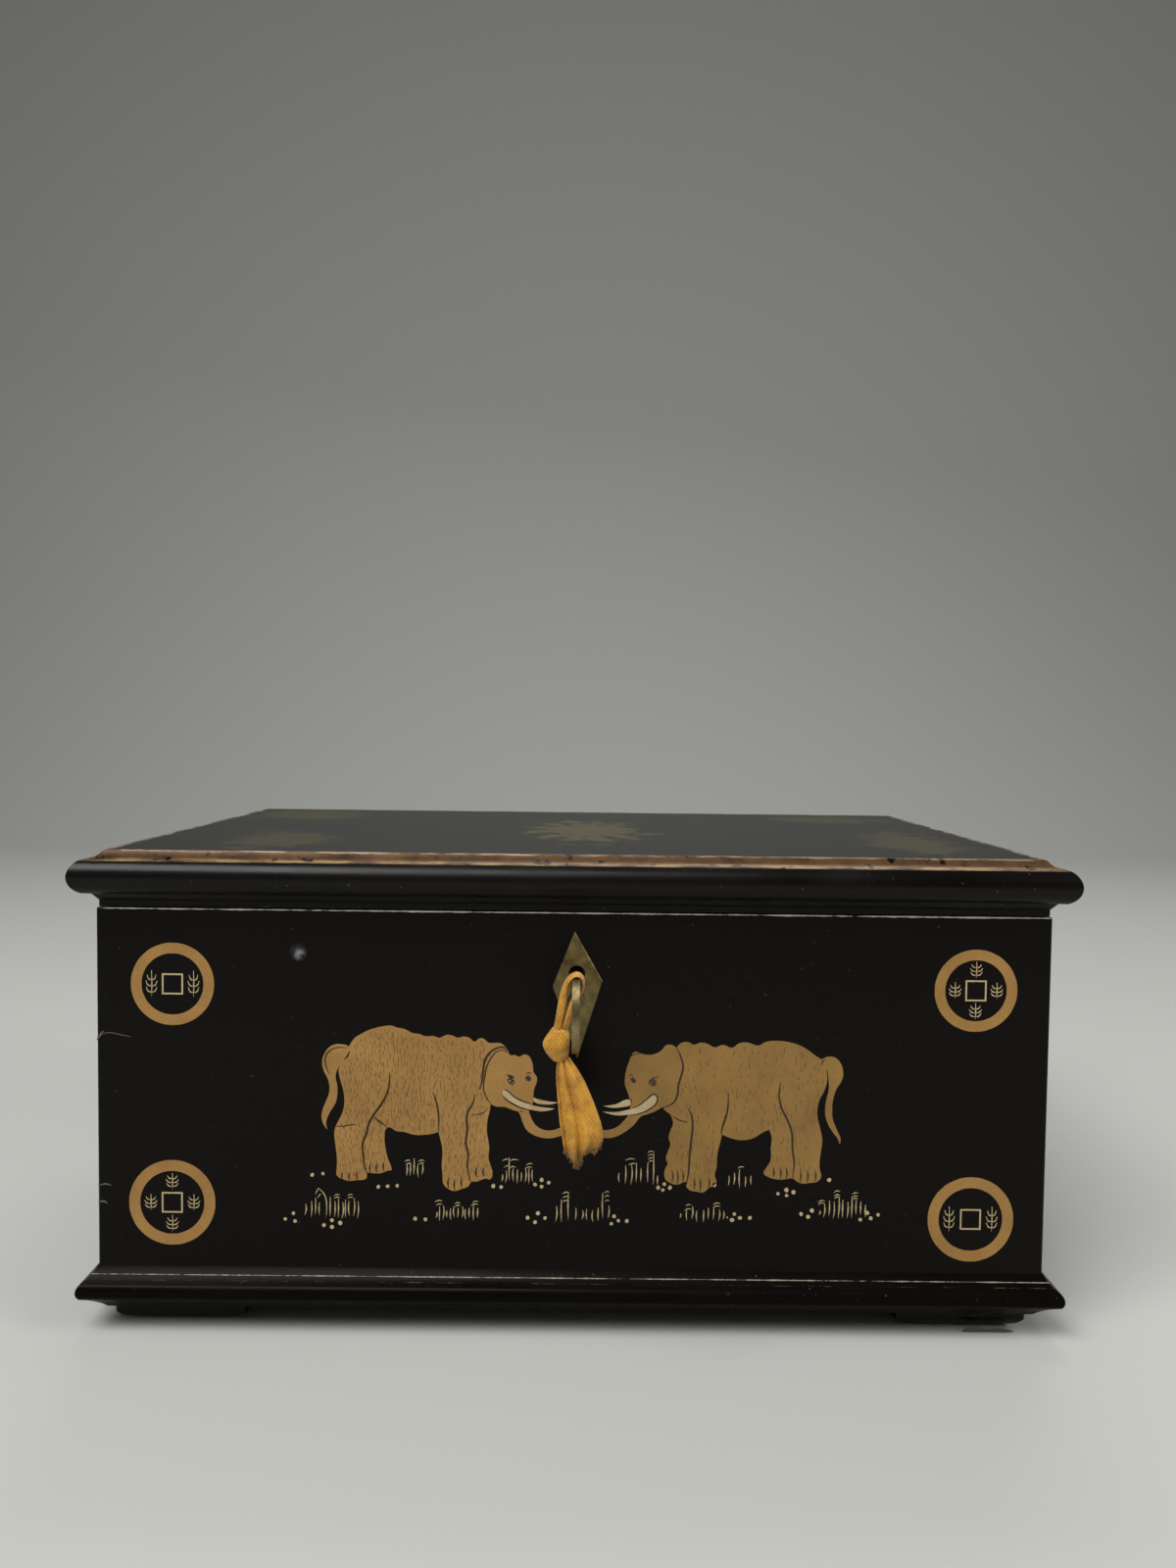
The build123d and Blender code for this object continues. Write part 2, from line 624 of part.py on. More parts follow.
# ---- lock: bolt, a bar with a talon for the bit and a finger for each lug ----
with BuildPart() as lock_bolt:
    with BuildSketch(Plane.XZ.offset(-(link_y + BOLT_T / 2))):
        with Locations([(LOCK_X, KEYHOLE_Z)]):
            with Locations([(BOLT_BAR_X + BOLT_BAR_L / 2, BOLT_BAR_Z + BOLT_BAR_H / 2)]):
                Rectangle(BOLT_BAR_L, BOLT_BAR_H)
            for lug_x in LUG_XS:
                finger_x = lug_x - LUG_T / 2 - FINGER_GAP - FINGER_L
                riser_h = finger_z + FINGER_H - BOLT_BAR_Z
                with Locations([(finger_x - RISER_W / 2, BOLT_BAR_Z + riser_h / 2)]):
                    Rectangle(RISER_W, riser_h)
                with Locations([(finger_x + FINGER_L / 2, finger_z + FINGER_H / 2)]):
                    Rectangle(FINGER_L, FINGER_H)
            talon_w = TALON_RIGHT - TALON_LEFT
            with Locations([(TALON_LEFT + talon_w / 2, BOLT_BAR_Z + TALON_H / 2)]):
                Rectangle(talon_w, TALON_H, mode=Mode.SUBTRACT)
            with Locations([(stud_x - BOLT_THROW / 2, stud_z)]):
                SlotCenterToCenter(BOLT_THROW, 2 * slot_r, mode=Mode.SUBTRACT)
    extrude(amount=BOLT_T)
lock_bolt.part.label = "lock_bolt"
export_step(lock_bolt.part, "parts/lock_bolt.step")

# ---- lock: spring, a bent strip that holds the bolt up ----
spring_tip = Vector(LOCK_X + SPRING_TIP_X, KEYHOLE_Z + BOLT_BAR_Z - STUD_CLEAR)
spring_foot = Vector(cover_xs[0] + LOCK_SHEET, KEYHOLE_Z + SPRING_FOOT_Z)
spring_bend = spring_foot * 0.35 + spring_tip * 0.65 + Vector(0, SPRING_RISE)
strip = Vector(0, SPRING_T)
with BuildPart() as lock_spring:
    with BuildSketch(Plane.XZ.offset(-(link_y + SPRING_W / 2))):
        with BuildLine():
            ThreePointArc(spring_foot, spring_bend, spring_tip)
            Line(spring_tip, spring_tip - strip)
            ThreePointArc(spring_tip - strip, spring_bend - strip, spring_foot - strip)
            Line(spring_foot - strip, spring_foot)
        make_face()
    extrude(amount=SPRING_W)
lock_spring.part.label = "lock_spring"
export_step(lock_spring.part, "parts/lock_spring.step")

with BuildPart() as plate_screws:
    with Locations(*lock_screws):
        add(SCREW)
plate_screws.part.label = "lock_screws"
export_step(plate_screws.part, "parts/lock_screws.step")


# ---- hinges: the case's leaf has the outer knuckles and the lid's leaf the middle one ----
def leaf(x, z0, z1, own, other, bores):
    """A leaf with its own knuckles, cleared round the other leaf's."""
    with BuildPart() as piece:
        block((x - HINGE_L / 2, x + HINGE_L / 2), (BACK - LEAF_W, BACK), (z0, z1))
        for x0, x1 in other:
            clear = KNUCKLE_R + SCOOP_CLEAR
            rod(x0 - KNUCKLE_GAP, x1 + KNUCKLE_GAP, BACK, HINGE_Z, clear, Mode.SUBTRACT)
        for x0, x1 in own:
            rod(x0, x1, BACK, HINGE_Z, KNUCKLE_R)
        rod(x - HINGE_L, x + HINGE_L, BACK, HINGE_Z, HINGE_PIN_R + PIN_CLEAR, Mode.SUBTRACT)
        with Locations(*bores):
            add(BORE, mode=Mode.SUBTRACT)
    return piece.part


for end, x in HINGE_XS.items():
    third = HINGE_L / 3
    outer_knuckles = [(x - 1.5 * third, x - 0.5 * third), (x + 0.5 * third, x + 1.5 * third)]
    middle_knuckle = [(x - 0.5 * third + KNUCKLE_GAP, x + 0.5 * third - KNUCKLE_GAP)]
    with BuildPart() as case_leaf:
        add(leaf(x, CASE_TOP - LEAF_T, CASE_TOP, outer_knuckles, middle_knuckle, case_hinge_screws))
    case_leaf.part.label = f"hinge_{end}_case_leaf"
    export_step(case_leaf.part, f"parts/hinge_{end}_case_leaf.step")
    with BuildPart() as lid_leaf:
        add(leaf(x, LID_FOOT, LID_FOOT + LEAF_T, middle_knuckle, outer_knuckles, lid_hinge_screws))
    lid_leaf.part.label = f"hinge_{end}_lid_leaf"
    export_step(lid_leaf.part, f"parts/hinge_{end}_lid_leaf.step")
    with BuildPart() as hinge_pin:
        half = HINGE_L / 2
        rod(x - half, x + half, BACK, HINGE_Z, HINGE_PIN_R)
        rod(x - half - PIN_HEAD_L, x - half, BACK, HINGE_Z, PIN_HEAD_R)
        rod(x + half, x + half + PIN_HEAD_L, BACK, HINGE_Z, PIN_HEAD_R)
        heads = hinge_pin.edges().filter_by(GeomType.CIRCLE).group_by(Axis.X)
        chamfer(heads[0] + heads[-1], PIN_HEAD_L / 2)
    hinge_pin.part.label = f"hinge_{end}_pin"
    export_step(hinge_pin.part, f"parts/hinge_{end}_pin.step")

with BuildPart() as lower_hinge_screws:
    with Locations(*case_hinge_screws):
        add(SCREW)
lower_hinge_screws.part.label = "hinge_case_screws"
export_step(lower_hinge_screws.part, "parts/hinge_case_screws.step")

with BuildPart() as upper_hinge_screws:
    with Locations(*lid_hinge_screws):
        add(SCREW)
upper_hinge_screws.part.label = "hinge_lid_screws"
export_step(upper_hinge_screws.part, "parts/hinge_lid_screws.step")

# ---- lid: four mitred mouldings round a top panel ----
link_xs = (LOCK_X - LINK_W / 2, LOCK_X + LINK_W / 2)
link_ys = (link_y - LINK_D / 2, link_y + LINK_D / 2)
for side in SIDES:
    with BuildPart() as lid_moulding:
        add(mitred(lid_profile(), side))
        if side == "front":
            block(link_xs, link_ys, (LID_FOOT, LID_FOOT + LINK_T), Mode.SUBTRACT)
            with Locations(*link_screws):
                add(BORE, mode=Mode.SUBTRACT)
        if side == "back":
            for x in HINGE_XS.values():
                hinge_seat(x, LID_FOOT, LID_FOOT + LEAF_T)
            with Locations(*lid_hinge_screws):
                add(BORE, mode=Mode.SUBTRACT)
    lid_moulding.part.label = f"lid_moulding_{side}"
    export_step(lid_moulding.part, f"parts/lid_moulding_{side}.step")

with BuildPart() as lid_panel:
    rebate = BOARD_T - PANEL_SEAT
    block(
        (rebate - CASE_W / 2, CASE_W / 2 - rebate),
        (FRONT + rebate, BACK - rebate),
        (PANEL_FOOT, LID_TOP),
    )
lid_panel.part.label = "lid_panel"
export_step(lid_panel.part, "parts/lid_panel.step")

# ---- lid: link plate, and under it the two lugs that drop into the lock ----
with BuildPart() as link_plate:
    block(link_xs, link_ys, (LID_FOOT, LID_FOOT + LINK_T))
    with Locations(*link_screws):
        add(BORE, mode=Mode.SUBTRACT)
link_plate.part.label = "link_plate"
export_step(link_plate.part, "parts/link_plate.step")

with BuildPart() as link_lugs:
    eye_w = BOLT_T + 2 * LUG_EYE_CLEAR
    for lug_x in LUG_XS:
        lug_xs = (LOCK_X + lug_x - LUG_T / 2, LOCK_X + lug_x + LUG_T / 2)
        block(lug_xs, (link_y - LUG_W / 2, link_y + LUG_W / 2), (lug_foot, LID_FOOT))
        eye_zs = (lug_eye, lug_eye + LUG_EYE_H)
        block(lug_xs, (link_y - eye_w / 2, link_y + eye_w / 2), eye_zs, Mode.SUBTRACT)
link_lugs.part.label = "link_lugs"
export_step(link_lugs.part, "parts/link_lugs.step")

with BuildPart() as lid_screws:
    with Locations(*link_screws):
        add(SCREW)
lid_screws.part.label = "link_screws"
export_step(lid_screws.part, "parts/link_screws.step")

# ---- key: shaft, collar, oval bow and a bit that points down when the key goes in ----
bow_at = KEY_PLANE.from_local_coords((0, 0, KEY_BOW_AT))
BOW_PLANE = Plane(origin=bow_at, x_dir=KEY_PLANE.y_dir, z_dir=KEY_PLANE.x_dir)
shaft_end = KEY_BOW_AT - BOW_DEEP / 2 + BOW_BAR / 2
with BuildPart() as key:
    with BuildSketch(KEY_PLANE.offset(-KEY_TIP)):
        Circle(KEY_R)
    extrude(amount=KEY_TIP + shaft_end)
    chamfer(key.faces().sort_by(Axis.Y)[-1].edges(), KEY_R / 4)
    with BuildSketch(KEY_PLANE.offset(shaft_end - 2 * COLLAR_L - BOW_BAR / 2)):
        Circle(COLLAR_R)
    extrude(amount=COLLAR_L)
    with BuildSketch(KEY_PLANE.offset(-BIT_AT - BIT_L / 2)):
        with Locations([(0, -BIT_R / 2)]):
            Rectangle(BIT_T, BIT_R)
    extrude(amount=BIT_L)
    with BuildSketch(KEY_PLANE.offset(-BIT_AT - BIT_WARD / 2)):
        with Locations([(0, -0.72 * BIT_R)]):
            Rectangle(2 * BIT_T, BIT_WARD)
    extrude(amount=BIT_WARD, mode=Mode.SUBTRACT)
    with BuildSketch(BOW_PLANE):
        Ellipse(BOW_TALL / 2, BOW_DEEP / 2)
        Ellipse(BOW_TALL / 2 - BOW_BAR, BOW_DEEP / 2 - BOW_BAR, mode=Mode.SUBTRACT)
    extrude(amount=BOW_T / 2, both=True)
key.part.label = "key"
export_step(key.part, "parts/key.step")

# ---- ribbon: a loop round the bow's upper bar, a knot beside the bow, a folded tail ----
# The loop and the knot are placed in the key's own axes, at the middle of the bow.
side_gap = BOW_T / 2 + RIBBON_CLEAR
bar_top = BOW_TALL / 2 + RIBBON_CLEAR
hole_tall = BOW_TALL / 2 - BOW_BAR
hole_deep = BOW_DEEP / 2 - BOW_BAR
bar_foot = hole_tall * math.sqrt(1 - (RIBBON_W / 2 / hole_deep) ** 2) - RIBBON_CLEAR
knot_top = KNOT_UP + KNOT_H / 2 * KNOT_CUT
knot_foot = KNOT_UP - KNOT_H / 2 * KNOT_CUT
outer_x = side_gap + RIBBON_T
shoulder = bar_top - side_gap
with BuildPart() as ribbon_loop:
    with BuildSketch(KEY_PLANE.offset(KEY_BOW_AT - RIBBON_W / 2)):
        with BuildLine():
            ThreePointArc((-outer_x, shoulder), (0, bar_top + RIBBON_T), (outer_x, shoulder))
            Polyline(
                (outer_x, shoulder),
                (outer_x, bar_foot - RIBBON_T),
                (KNOT_X + STRAND_W / 2, knot_top),
                (KNOT_X - STRAND_W / 2, knot_top),
                (-outer_x, shoulder),
            )
        make_face()
        Polygon(
            (-side_gap, bar_top),
            (side_gap, bar_top),
            (side_gap, bar_foot),
            (KNOT_X + STRAND_W / 4, knot_top + 3 * RIBBON_T),
            align=None,
            mode=Mode.SUBTRACT,
        )
    extrude(amount=RIBBON_W)
ribbon_loop.part.label = "ribbon_loop"
export_step(ribbon_loop.part, "parts/ribbon_loop.step")

knot_rings = []
for share in reversed(KNOT_RINGS):
    ring_at = (KNOT_X, KNOT_UP + share * KNOT_H / 2, KEY_BOW_AT)
    ring_plane = Plane(
        origin=KEY_PLANE.from_local_coords(ring_at), x_dir=KEY_PLANE.x_dir, z_dir=KEY_PLANE.y_dir
    )
    knot_rings.append(ring_round(ring_plane, KNOT_W / 2 * math.sqrt(1 - share**2), KNOT_SIDES))
with BuildPart() as ribbon_knot:
    add(flat_sided(knot_rings))
ribbon_knot.part.label = "ribbon_knot"
export_step(ribbon_knot.part, "parts/ribbon_knot.step")


def folds(plane, width, thick):
    """The corners of a section across the folded tail, pleated on both sides."""
    fold = width / TAIL_FOLDS
    bulge = fold * FOLD_BULGE
    corners = [(width / 2, -thick / 2)]
    for number in range(TAIL_FOLDS):
        corners.append((width / 2 - fold * (number + 0.5), -thick / 2 - bulge))
        corners.append((width / 2 - fold * (number + 1), -thick / 2))
    corners.append((-width / 2, thick / 2))
    for number in range(TAIL_FOLDS):
        corners.append((fold * (number + 0.5) - width / 2, thick / 2 - bulge))
        corners.append((fold * (number + 1) - width / 2, thick / 2))
    return [plane.from_local_coords((x, y, 0)) for x, y in corners]


tail_at = KEY_PLANE.from_local_coords((TAIL_X, knot_foot, KEY_BOW_AT))
tail_head = Plane(origin=tail_at, x_dir=KEY_PLANE.x_dir, z_dir=KEY_PLANE.y_dir)
tail_middle = Plane(origin=tail_at + Vector(TAIL_SWAY * 0.4, 0, -TAIL_L / 2))
tail_end = Plane(origin=tail_at + Vector(TAIL_SWAY, 0, -TAIL_L))
tail_sections = [
    folds(tail_head, TAIL_TOP_W, TAIL_TOP_T),
    folds(tail_middle, (TAIL_TOP_W + TAIL_FOOT_W) / 2, (TAIL_TOP_T + TAIL_FOOT_T) / 2),
    folds(tail_end, TAIL_FOOT_W, TAIL_FOOT_T),
]
with BuildPart() as ribbon_tail:
    add(flat_sided(tail_sections))
ribbon_tail.part.label = "ribbon_tail"
export_step(ribbon_tail.part, "parts/ribbon_tail.step")
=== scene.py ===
"""A black-lacquered wooden box with a hinged lid, a lock, and a key on a silk ribbon."""

import math
import random

import bmesh
import bpy
from mathutils import Matrix, Vector


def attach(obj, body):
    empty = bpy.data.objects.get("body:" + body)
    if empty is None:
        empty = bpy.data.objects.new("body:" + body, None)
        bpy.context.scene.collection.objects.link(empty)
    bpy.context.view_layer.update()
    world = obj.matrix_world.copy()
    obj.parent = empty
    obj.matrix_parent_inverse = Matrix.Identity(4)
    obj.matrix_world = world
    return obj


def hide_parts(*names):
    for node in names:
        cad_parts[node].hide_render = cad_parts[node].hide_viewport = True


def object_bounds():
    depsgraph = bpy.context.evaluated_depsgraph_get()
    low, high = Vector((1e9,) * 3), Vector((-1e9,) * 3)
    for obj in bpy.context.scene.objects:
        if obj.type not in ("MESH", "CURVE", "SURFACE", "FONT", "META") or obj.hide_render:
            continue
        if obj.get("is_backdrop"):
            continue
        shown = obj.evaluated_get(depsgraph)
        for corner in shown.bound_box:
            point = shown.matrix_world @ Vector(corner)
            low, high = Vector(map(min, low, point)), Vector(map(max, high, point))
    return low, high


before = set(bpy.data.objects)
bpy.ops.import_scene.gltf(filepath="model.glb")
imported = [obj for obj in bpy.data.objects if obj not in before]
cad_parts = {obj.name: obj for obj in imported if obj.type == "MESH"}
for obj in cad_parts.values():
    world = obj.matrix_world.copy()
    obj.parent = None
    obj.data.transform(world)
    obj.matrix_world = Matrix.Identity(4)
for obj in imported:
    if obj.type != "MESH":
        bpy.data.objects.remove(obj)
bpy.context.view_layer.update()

# ---- Photographer's table, lamps and camera ----
# A pale seamless sheet runs under the box and up behind it. One broad soft lamp hangs in
# front and above, with weaker ones at the right and behind, and the sky is dim so that black
# stays black.

MM = 0.001
SHEET_FRONT = -2.4
SHEET_BACK = 1.5
SHEET_HALF = 8.0
SHEET_TOP = 3.2
SHEET_SWEEP = 0.9  # radius of the turn from floor to wall
SWEEP_STEPS = 12


def deselect():
    """Leaves nothing selected, because an operator acts on all that is."""
    for thing in bpy.context.selected_objects:
        thing.select_set(False)


def linear(colour):
    """An sRGB hex colour as linear red, green, blue and alpha."""
    values = []
    for start in (1, 3, 5):
        share = int(colour[start : start + 2], 16) / 255
        values.append(share / 12.92 if share <= 0.04045 else ((share + 0.055) / 1.055) ** 2.4)
    return (*values, 1.0)


def node(tree, kind, inputs, output=0, **settings):
    """Adds a shader node, and sets its inputs or links them to other nodes' outputs.

    It gives back one of the node's outputs, by number or name, or for None the node itself.
    """
    made = tree.nodes.new("ShaderNode" + kind)
    for name, value in settings.items():
        setattr(made, name, value)
    for socket, value in inputs.items():
        if isinstance(value, bpy.types.NodeSocket):
            tree.links.new(value, made.inputs[socket])
        else:
            made.inputs[socket].default_value = value
    return made if output is None else made.outputs[output]


def material(name, finish):
    """A new material, with its tree, its shader and the coordinates of the piece itself."""
    made = bpy.data.materials.new(name)
    made.use_nodes = True
    tree = made.node_tree
    tree.nodes.clear()
    shader = node(tree, "BsdfPrincipled", finish, None)
    node(tree, "OutputMaterial", {"Surface": shader.outputs[0]}, None)
    return made, tree, shader, node(tree, "TexCoord", {}, "Object")


# Background paper: wood pulp with a fine tooth, so it scatters light and hardly shines.
paper = material(
    "pale_seamless_paper",
    {"Base Color": linear("#BBBCB7"), "Roughness": 0.85, "Specular IOR Level": 0.2},
)[0]

# The sheet: a floor whose rear edge is swept up in a quarter turn and drawn on up the wall.
deselect()
bpy.ops.mesh.primitive_plane_add(size=1)
sheet = bpy.context.object
sheet.name = "seamless_sheet"
bpy.ops.object.mode_set(mode="EDIT")
bpy.ops.transform.resize(value=(2 * SHEET_HALF, SHEET_BACK - SHEET_FRONT, 1))
bpy.ops.transform.translate(value=(0, (SHEET_BACK + SHEET_FRONT) / 2, 0))
bpy.ops.mesh.select_all(action="DESELECT")
form = bmesh.from_edit_mesh(sheet.data)
for edge in form.edges:
    edge.select_set(all(corner.co.y > SHEET_BACK - MM for corner in edge.verts))
form.select_flush_mode()
bmesh.update_edit_mesh(sheet.data)
bpy.ops.mesh.spin(
    steps=SWEEP_STEPS,
    angle=math.pi / 2,
    center=(0, SHEET_BACK, SHEET_SWEEP),
    axis=(-1, 0, 0),
)
bpy.ops.mesh.extrude_region_move(TRANSFORM_OT_translate={"value": (0, 0, SHEET_TOP - SHEET_SWEEP)})
bpy.ops.object.mode_set(mode="OBJECT")
bpy.ops.object.shade_smooth()
sheet.data.materials.append(paper)
sheet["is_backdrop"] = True

world = bpy.data.worlds.new("dim_studio")
bpy.context.scene.world = world
world.use_nodes = True
world.node_tree.nodes["Background"].inputs["Color"].default_value = linear("#A8AAA8")
world.node_tree.nodes["Background"].inputs["Strength"].default_value = 0.4


def soft_lamp(name, place, aim, size, watts):
    """A soft box, turned towards a point on the object."""
    lamp = bpy.data.lights.new(name, "AREA")
    lamp.shape = "RECTANGLE"
    lamp.size, lamp.size_y = size
    lamp.energy = watts
    holder = bpy.data.objects.new(name, lamp)
    bpy.context.scene.collection.objects.link(holder)
    holder.location = place
    holder.rotation_euler = (Vector(aim) - Vector(place)).to_track_quat("-Z", "Y").to_euler()


soft_lamp("key_lamp", (-0.55, -0.9, 1.35), (0, -0.05, 0.08), (1.1, 0.8), 26)
soft_lamp("right_lamp", (1.5, -0.6, 1.0), (0, 0, 0.08), (0.8, 0.8), 12)
soft_lamp("rear_lamp", (0.2, 1.2, 1.8), (0, 0, 0.1), (1.4, 0.7), 14)

CAMERA_AT = Vector((0.0019, -0.5259, 0.2176))
CAMERA_PITCH = math.radians(-2.62)
CAMERA_YAW = math.radians(-0.278)
CAMERA_ROLL = math.radians(0.675)

lens = bpy.data.cameras.new("camera")
lens.lens = 27
lens.sensor_width = 36
lens.sensor_fit = "AUTO"
lens.clip_start = 0.02
camera = bpy.data.objects.new("camera", lens)
bpy.context.scene.collection.objects.link(camera)
turn = (
    Matrix.Rotation(CAMERA_YAW, 4, "Z")
    @ Matrix.Rotation(math.pi / 2 + CAMERA_PITCH, 4, "X")
    @ Matrix.Rotation(CAMERA_ROLL, 4, "Z")
)
camera.matrix_world = Matrix.Translation(CAMERA_AT) @ turn
bpy.context.scene.camera = camera
bpy.context.scene.view_settings.view_transform = "Standard"

# ---- Black lacquer on the boards, mouldings and feet ----
# The case is boards under old lacquer on a thin pale ground. The plinth and the feet are
# mitred and glued on, under the same lacquer. Handling has rubbed the edges through to the
# ground.

LACQUER_GLOSS = 0.11
PLINTH_GLOSS = 0.04


def lacquer(name, edge_lines=(), gloss=LACQUER_GLOSS):
    """Black lacquer. Edge lines, scuffed and painted highlight, are (planes, half width, colour,
    strength).

    A plane is an axis and a place in metres, on both sides of the box where the axis is 0 or 1.
    Urushi is a near-black glossy skin, cloudy in patches of some 5 cm, a little wavy from the
    brush, and specked with dust. Its edges scuff through in flakes of a few millimetres.
    """
    made, tree, shader, place = material(name, {"IOR": 1.5, "Specular IOR Level": gloss})
    cloudy = node(tree, "TexNoise", {"Vector": place, "Scale": 22.0, "Detail": 5.0})
    colour = node(
        tree, "Mix", {0: cloudy, 6: linear("#060403"), 7: linear("#0E0A08")}, 2, data_type="RGBA"
    )
    dust = node(tree, "TexNoise", {"Vector": place, "Scale": 640.0, "Detail": 1.0})
    speck = node(tree, "MapRange", {0: dust, 1: 0.75, 2: 0.8, 4: 0.6})
    colour = node(tree, "Mix", {0: speck, 6: colour, 7: linear("#4A463E")}, 2, data_type="RGBA")
    axes = node(tree, "SeparateXYZ", {0: place}, None).outputs
    flakes = {"Vector": place, "Scale": 120.0, "Detail": 6.0, "Roughness": 0.75}
    chip = node(tree, "TexNoise", flakes)
    # Each edge line, scuffed edge and painted highlight alike, mixes its colour in along planes,
    # in flakes.
    for planes, width, edge_colour, edge_strength in edge_lines:
        squares = 0.0
        for axis, at in planes:
            side = axes[axis]
            if axis != 2:
                side = node(tree, "Math", {0: side}, operation="ABSOLUTE")
            off = node(tree, "Math", {0: side, 1: at}, operation="SUBTRACT")
            squares = node(tree, "Math", {0: off, 1: off, 2: squares}, operation="MULTIPLY_ADD")
        away = node(tree, "Math", {0: squares}, operation="SQRT")
        edge = node(tree, "MapRange", {0: away, 1: 0.0, 2: width, 3: edge_strength, 4: -0.3})
        edge = node(tree, "Math", {0: edge, 1: chip}, operation="ADD")
        edge_mask = node(tree, "MapRange", {0: edge, 1: 0.84, 2: 0.96, 4: 0.9})
        colour = node(tree, "Mix", {0: edge_mask, 6: colour, 7: linear(edge_colour)}, 2, data_type="RGBA")
    tree.links.new(colour, shader.inputs["Base Color"])
    dull = node(tree, "MapRange", {0: cloudy, 1: 0.3, 2: 0.7, 3: 0.2, 4: 0.4})
    tree.links.new(dull, shader.inputs["Roughness"])
    brushed = node(tree, "Mapping", {"Vector": place, "Scale": (14, 14, 260)})
    streak = node(tree, "TexNoise", {"Vector": brushed, "Scale": 1.0, "Detail": 3.0})
    wavy = node(tree, "Bump", {"Height": streak, "Strength": 0.12, "Distance": 0.0006})
    grit = node(tree, "TexNoise", {"Vector": place, "Scale": 900.0, "Detail": 2.0})
    dusty = {"Height": grit, "Strength": 0.08, "Distance": 0.0003, "Normal": wavy}
    tree.links.new(node(tree, "Bump", dusty), shader.inputs["Normal"])
    return made, tree, shader, place, colour


def dress(names, finish):
    """Gives CAD nodes one material."""
    for name in names:
        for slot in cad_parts[name].material_slots:
            slot.material = finish


CASE_TOP = 0.1530
CASE_SIDE = 0.1700
CASE_END = 0.1110
PLINTH_TOP = 0.0236
BEAD_OUT = 0.006
SIDES = ("front", "back", "left", "right")

rim = (2, CASE_TOP - 0.0002)
corner = ((0, CASE_SIDE), (1, CASE_END))
case_edges = [((rim, (1, CASE_END)), 0.0011, "#CBC4B9", 0.7)]
case_edges += [((rim, (0, CASE_SIDE)), 0.0010, "#8C8378", 0.4), (corner, 0.0009, "#5E5347", 0.4)]
case_lacquer, tree, shader, place, colour = lacquer("black_lacquer_case", case_edges)

# A knock on the front has pressed a pit into the board. A grey highlight is painted where the
# pit's lower right side faces the light, broken up by noise.
DENT = (-0.0984, -CASE_END, 0.1376)
DENT_LIT = (-0.0976, -CASE_END, 0.1366)
DENT_R = 0.0034
DENT_DEEP = 0.0009
away = node(tree, "VectorMath", {0: place, 1: DENT}, "Value", operation="DISTANCE")
pitted = node(tree, "MapRange", {0: away, 1: DENT_R * 0.35, 2: DENT_R, 3: 1.0, 4: 0.0})
away = node(tree, "VectorMath", {0: place, 1: DENT_LIT}, "Value", operation="DISTANCE")
gleam = node(tree, "MapRange", {0: away, 1: 0.0004, 2: 0.0026, 3: 1.0, 4: 0.12})
pit_highlight = node(tree, "TexNoise", {"Vector": place, "Scale": 420.0, "Detail": 3.0})
pit_highlight = node(tree, "MapRange", {0: pit_highlight, 1: 0.3, 2: 0.55})
pit_highlight = node(tree, "Math", {0: pit_highlight, 1: pitted}, operation="MULTIPLY")
pit_highlight = node(tree, "Math", {0: pit_highlight, 1: gleam}, operation="MULTIPLY")
colour = node(tree, "Mix", {0: pit_highlight, 6: colour, 7: linear("#8B8B90")}, 2, data_type="RGBA")
tree.links.new(colour, shader.inputs["Base Color"])
sunk = node(tree, "Math", {0: pitted, 1: -1.0}, operation="MULTIPLY")
brushed = shader.inputs["Normal"].links[0].from_socket
pit = {"Height": sunk, "Strength": 0.6, "Distance": DENT_DEEP, "Normal": brushed}
tree.links.new(node(tree, "Bump", pit), shader.inputs["Normal"])

dress([f"case_{side}_board" for side in SIDES], case_lacquer)
dress(["case_bottom_board"], lacquer("black_lacquer_floor")[0])

# The plinth's flare has two lines of painted highlight, and the bead's corners are worn brown.
bead_corner = ((0, CASE_SIDE + BEAD_OUT), (1, CASE_END + BEAD_OUT))
plinth_highlights_and_wear = [(((2, PLINTH_TOP - 0.0024),), 0.0006, "#9C9284", 0.5)]
plinth_highlights_and_wear += [(((2, PLINTH_TOP - 0.0038),), 0.0005, "#5A5248", 0.36)]
plinth_highlights_and_wear += [(bead_corner, 0.0034, "#4A2E20", 0.4)]
plinth_lacquer = lacquer("black_lacquer_plinth", plinth_highlights_and_wear, PLINTH_GLOSS)[0]
dress([f"plinth_{side}" for side in SIDES], plinth_lacquer)
foot_lacquer = lacquer("black_lacquer_feet", [(((2, 0.0),), 0.0012, "#5A5046", 0.36)])[0]
dress([f"foot_{end}_{side}" for end in SIDES[:2] for side in SIDES[2:]], foot_lacquer)

# ---- Lid: black mouldings with a gilt hollow, and a painted panel ----
# Four mitred mouldings frame a flat panel. The hollow round the top is burnished gold leaf on
# the lacquer, brown with age, with painted highlights along both rims, the upper one rubbed pale.

GILT_FOOT = 0.16995
LID_TOP = 0.1732
STEP_TOP = 0.1583
GILT_GLOSS = 0.17
# Pits at the left end, over the torus, each a spot of painted shade: (across, up, radius) in
# millimetres.
PIT_FACE = -0.1172
PITS = ((-151.8, 167.7, 0.9), (-160.4, 165.2, 0.7), (-143.5, 166.0, 0.5))

lid_edges = [(((2, STEP_TOP),), 0.0004, "#4A3524", 0.36)]
gilded, tree, shader, place, colour = lacquer(
    "black_lacquer_gilt_moulding", lid_edges, GILT_GLOSS
)
up = node(tree, "SeparateXYZ", {0: place}, 2)

# Gold leaf: a dull brown shine, in grimy patches of 2 cm.
grime = {"Vector": place, "Scale": 60.0, "Detail": 6.0, "Roughness": 0.7}
grubby = node(tree, "MapRange", {0: node(tree, "TexNoise", grime), 1: 0.35, 2: 0.65})
leaf = node(
    tree, "Mix", {0: grubby, 6: linear("#5F442A"), 7: linear("#332214")}, 2, data_type="RGBA"
)
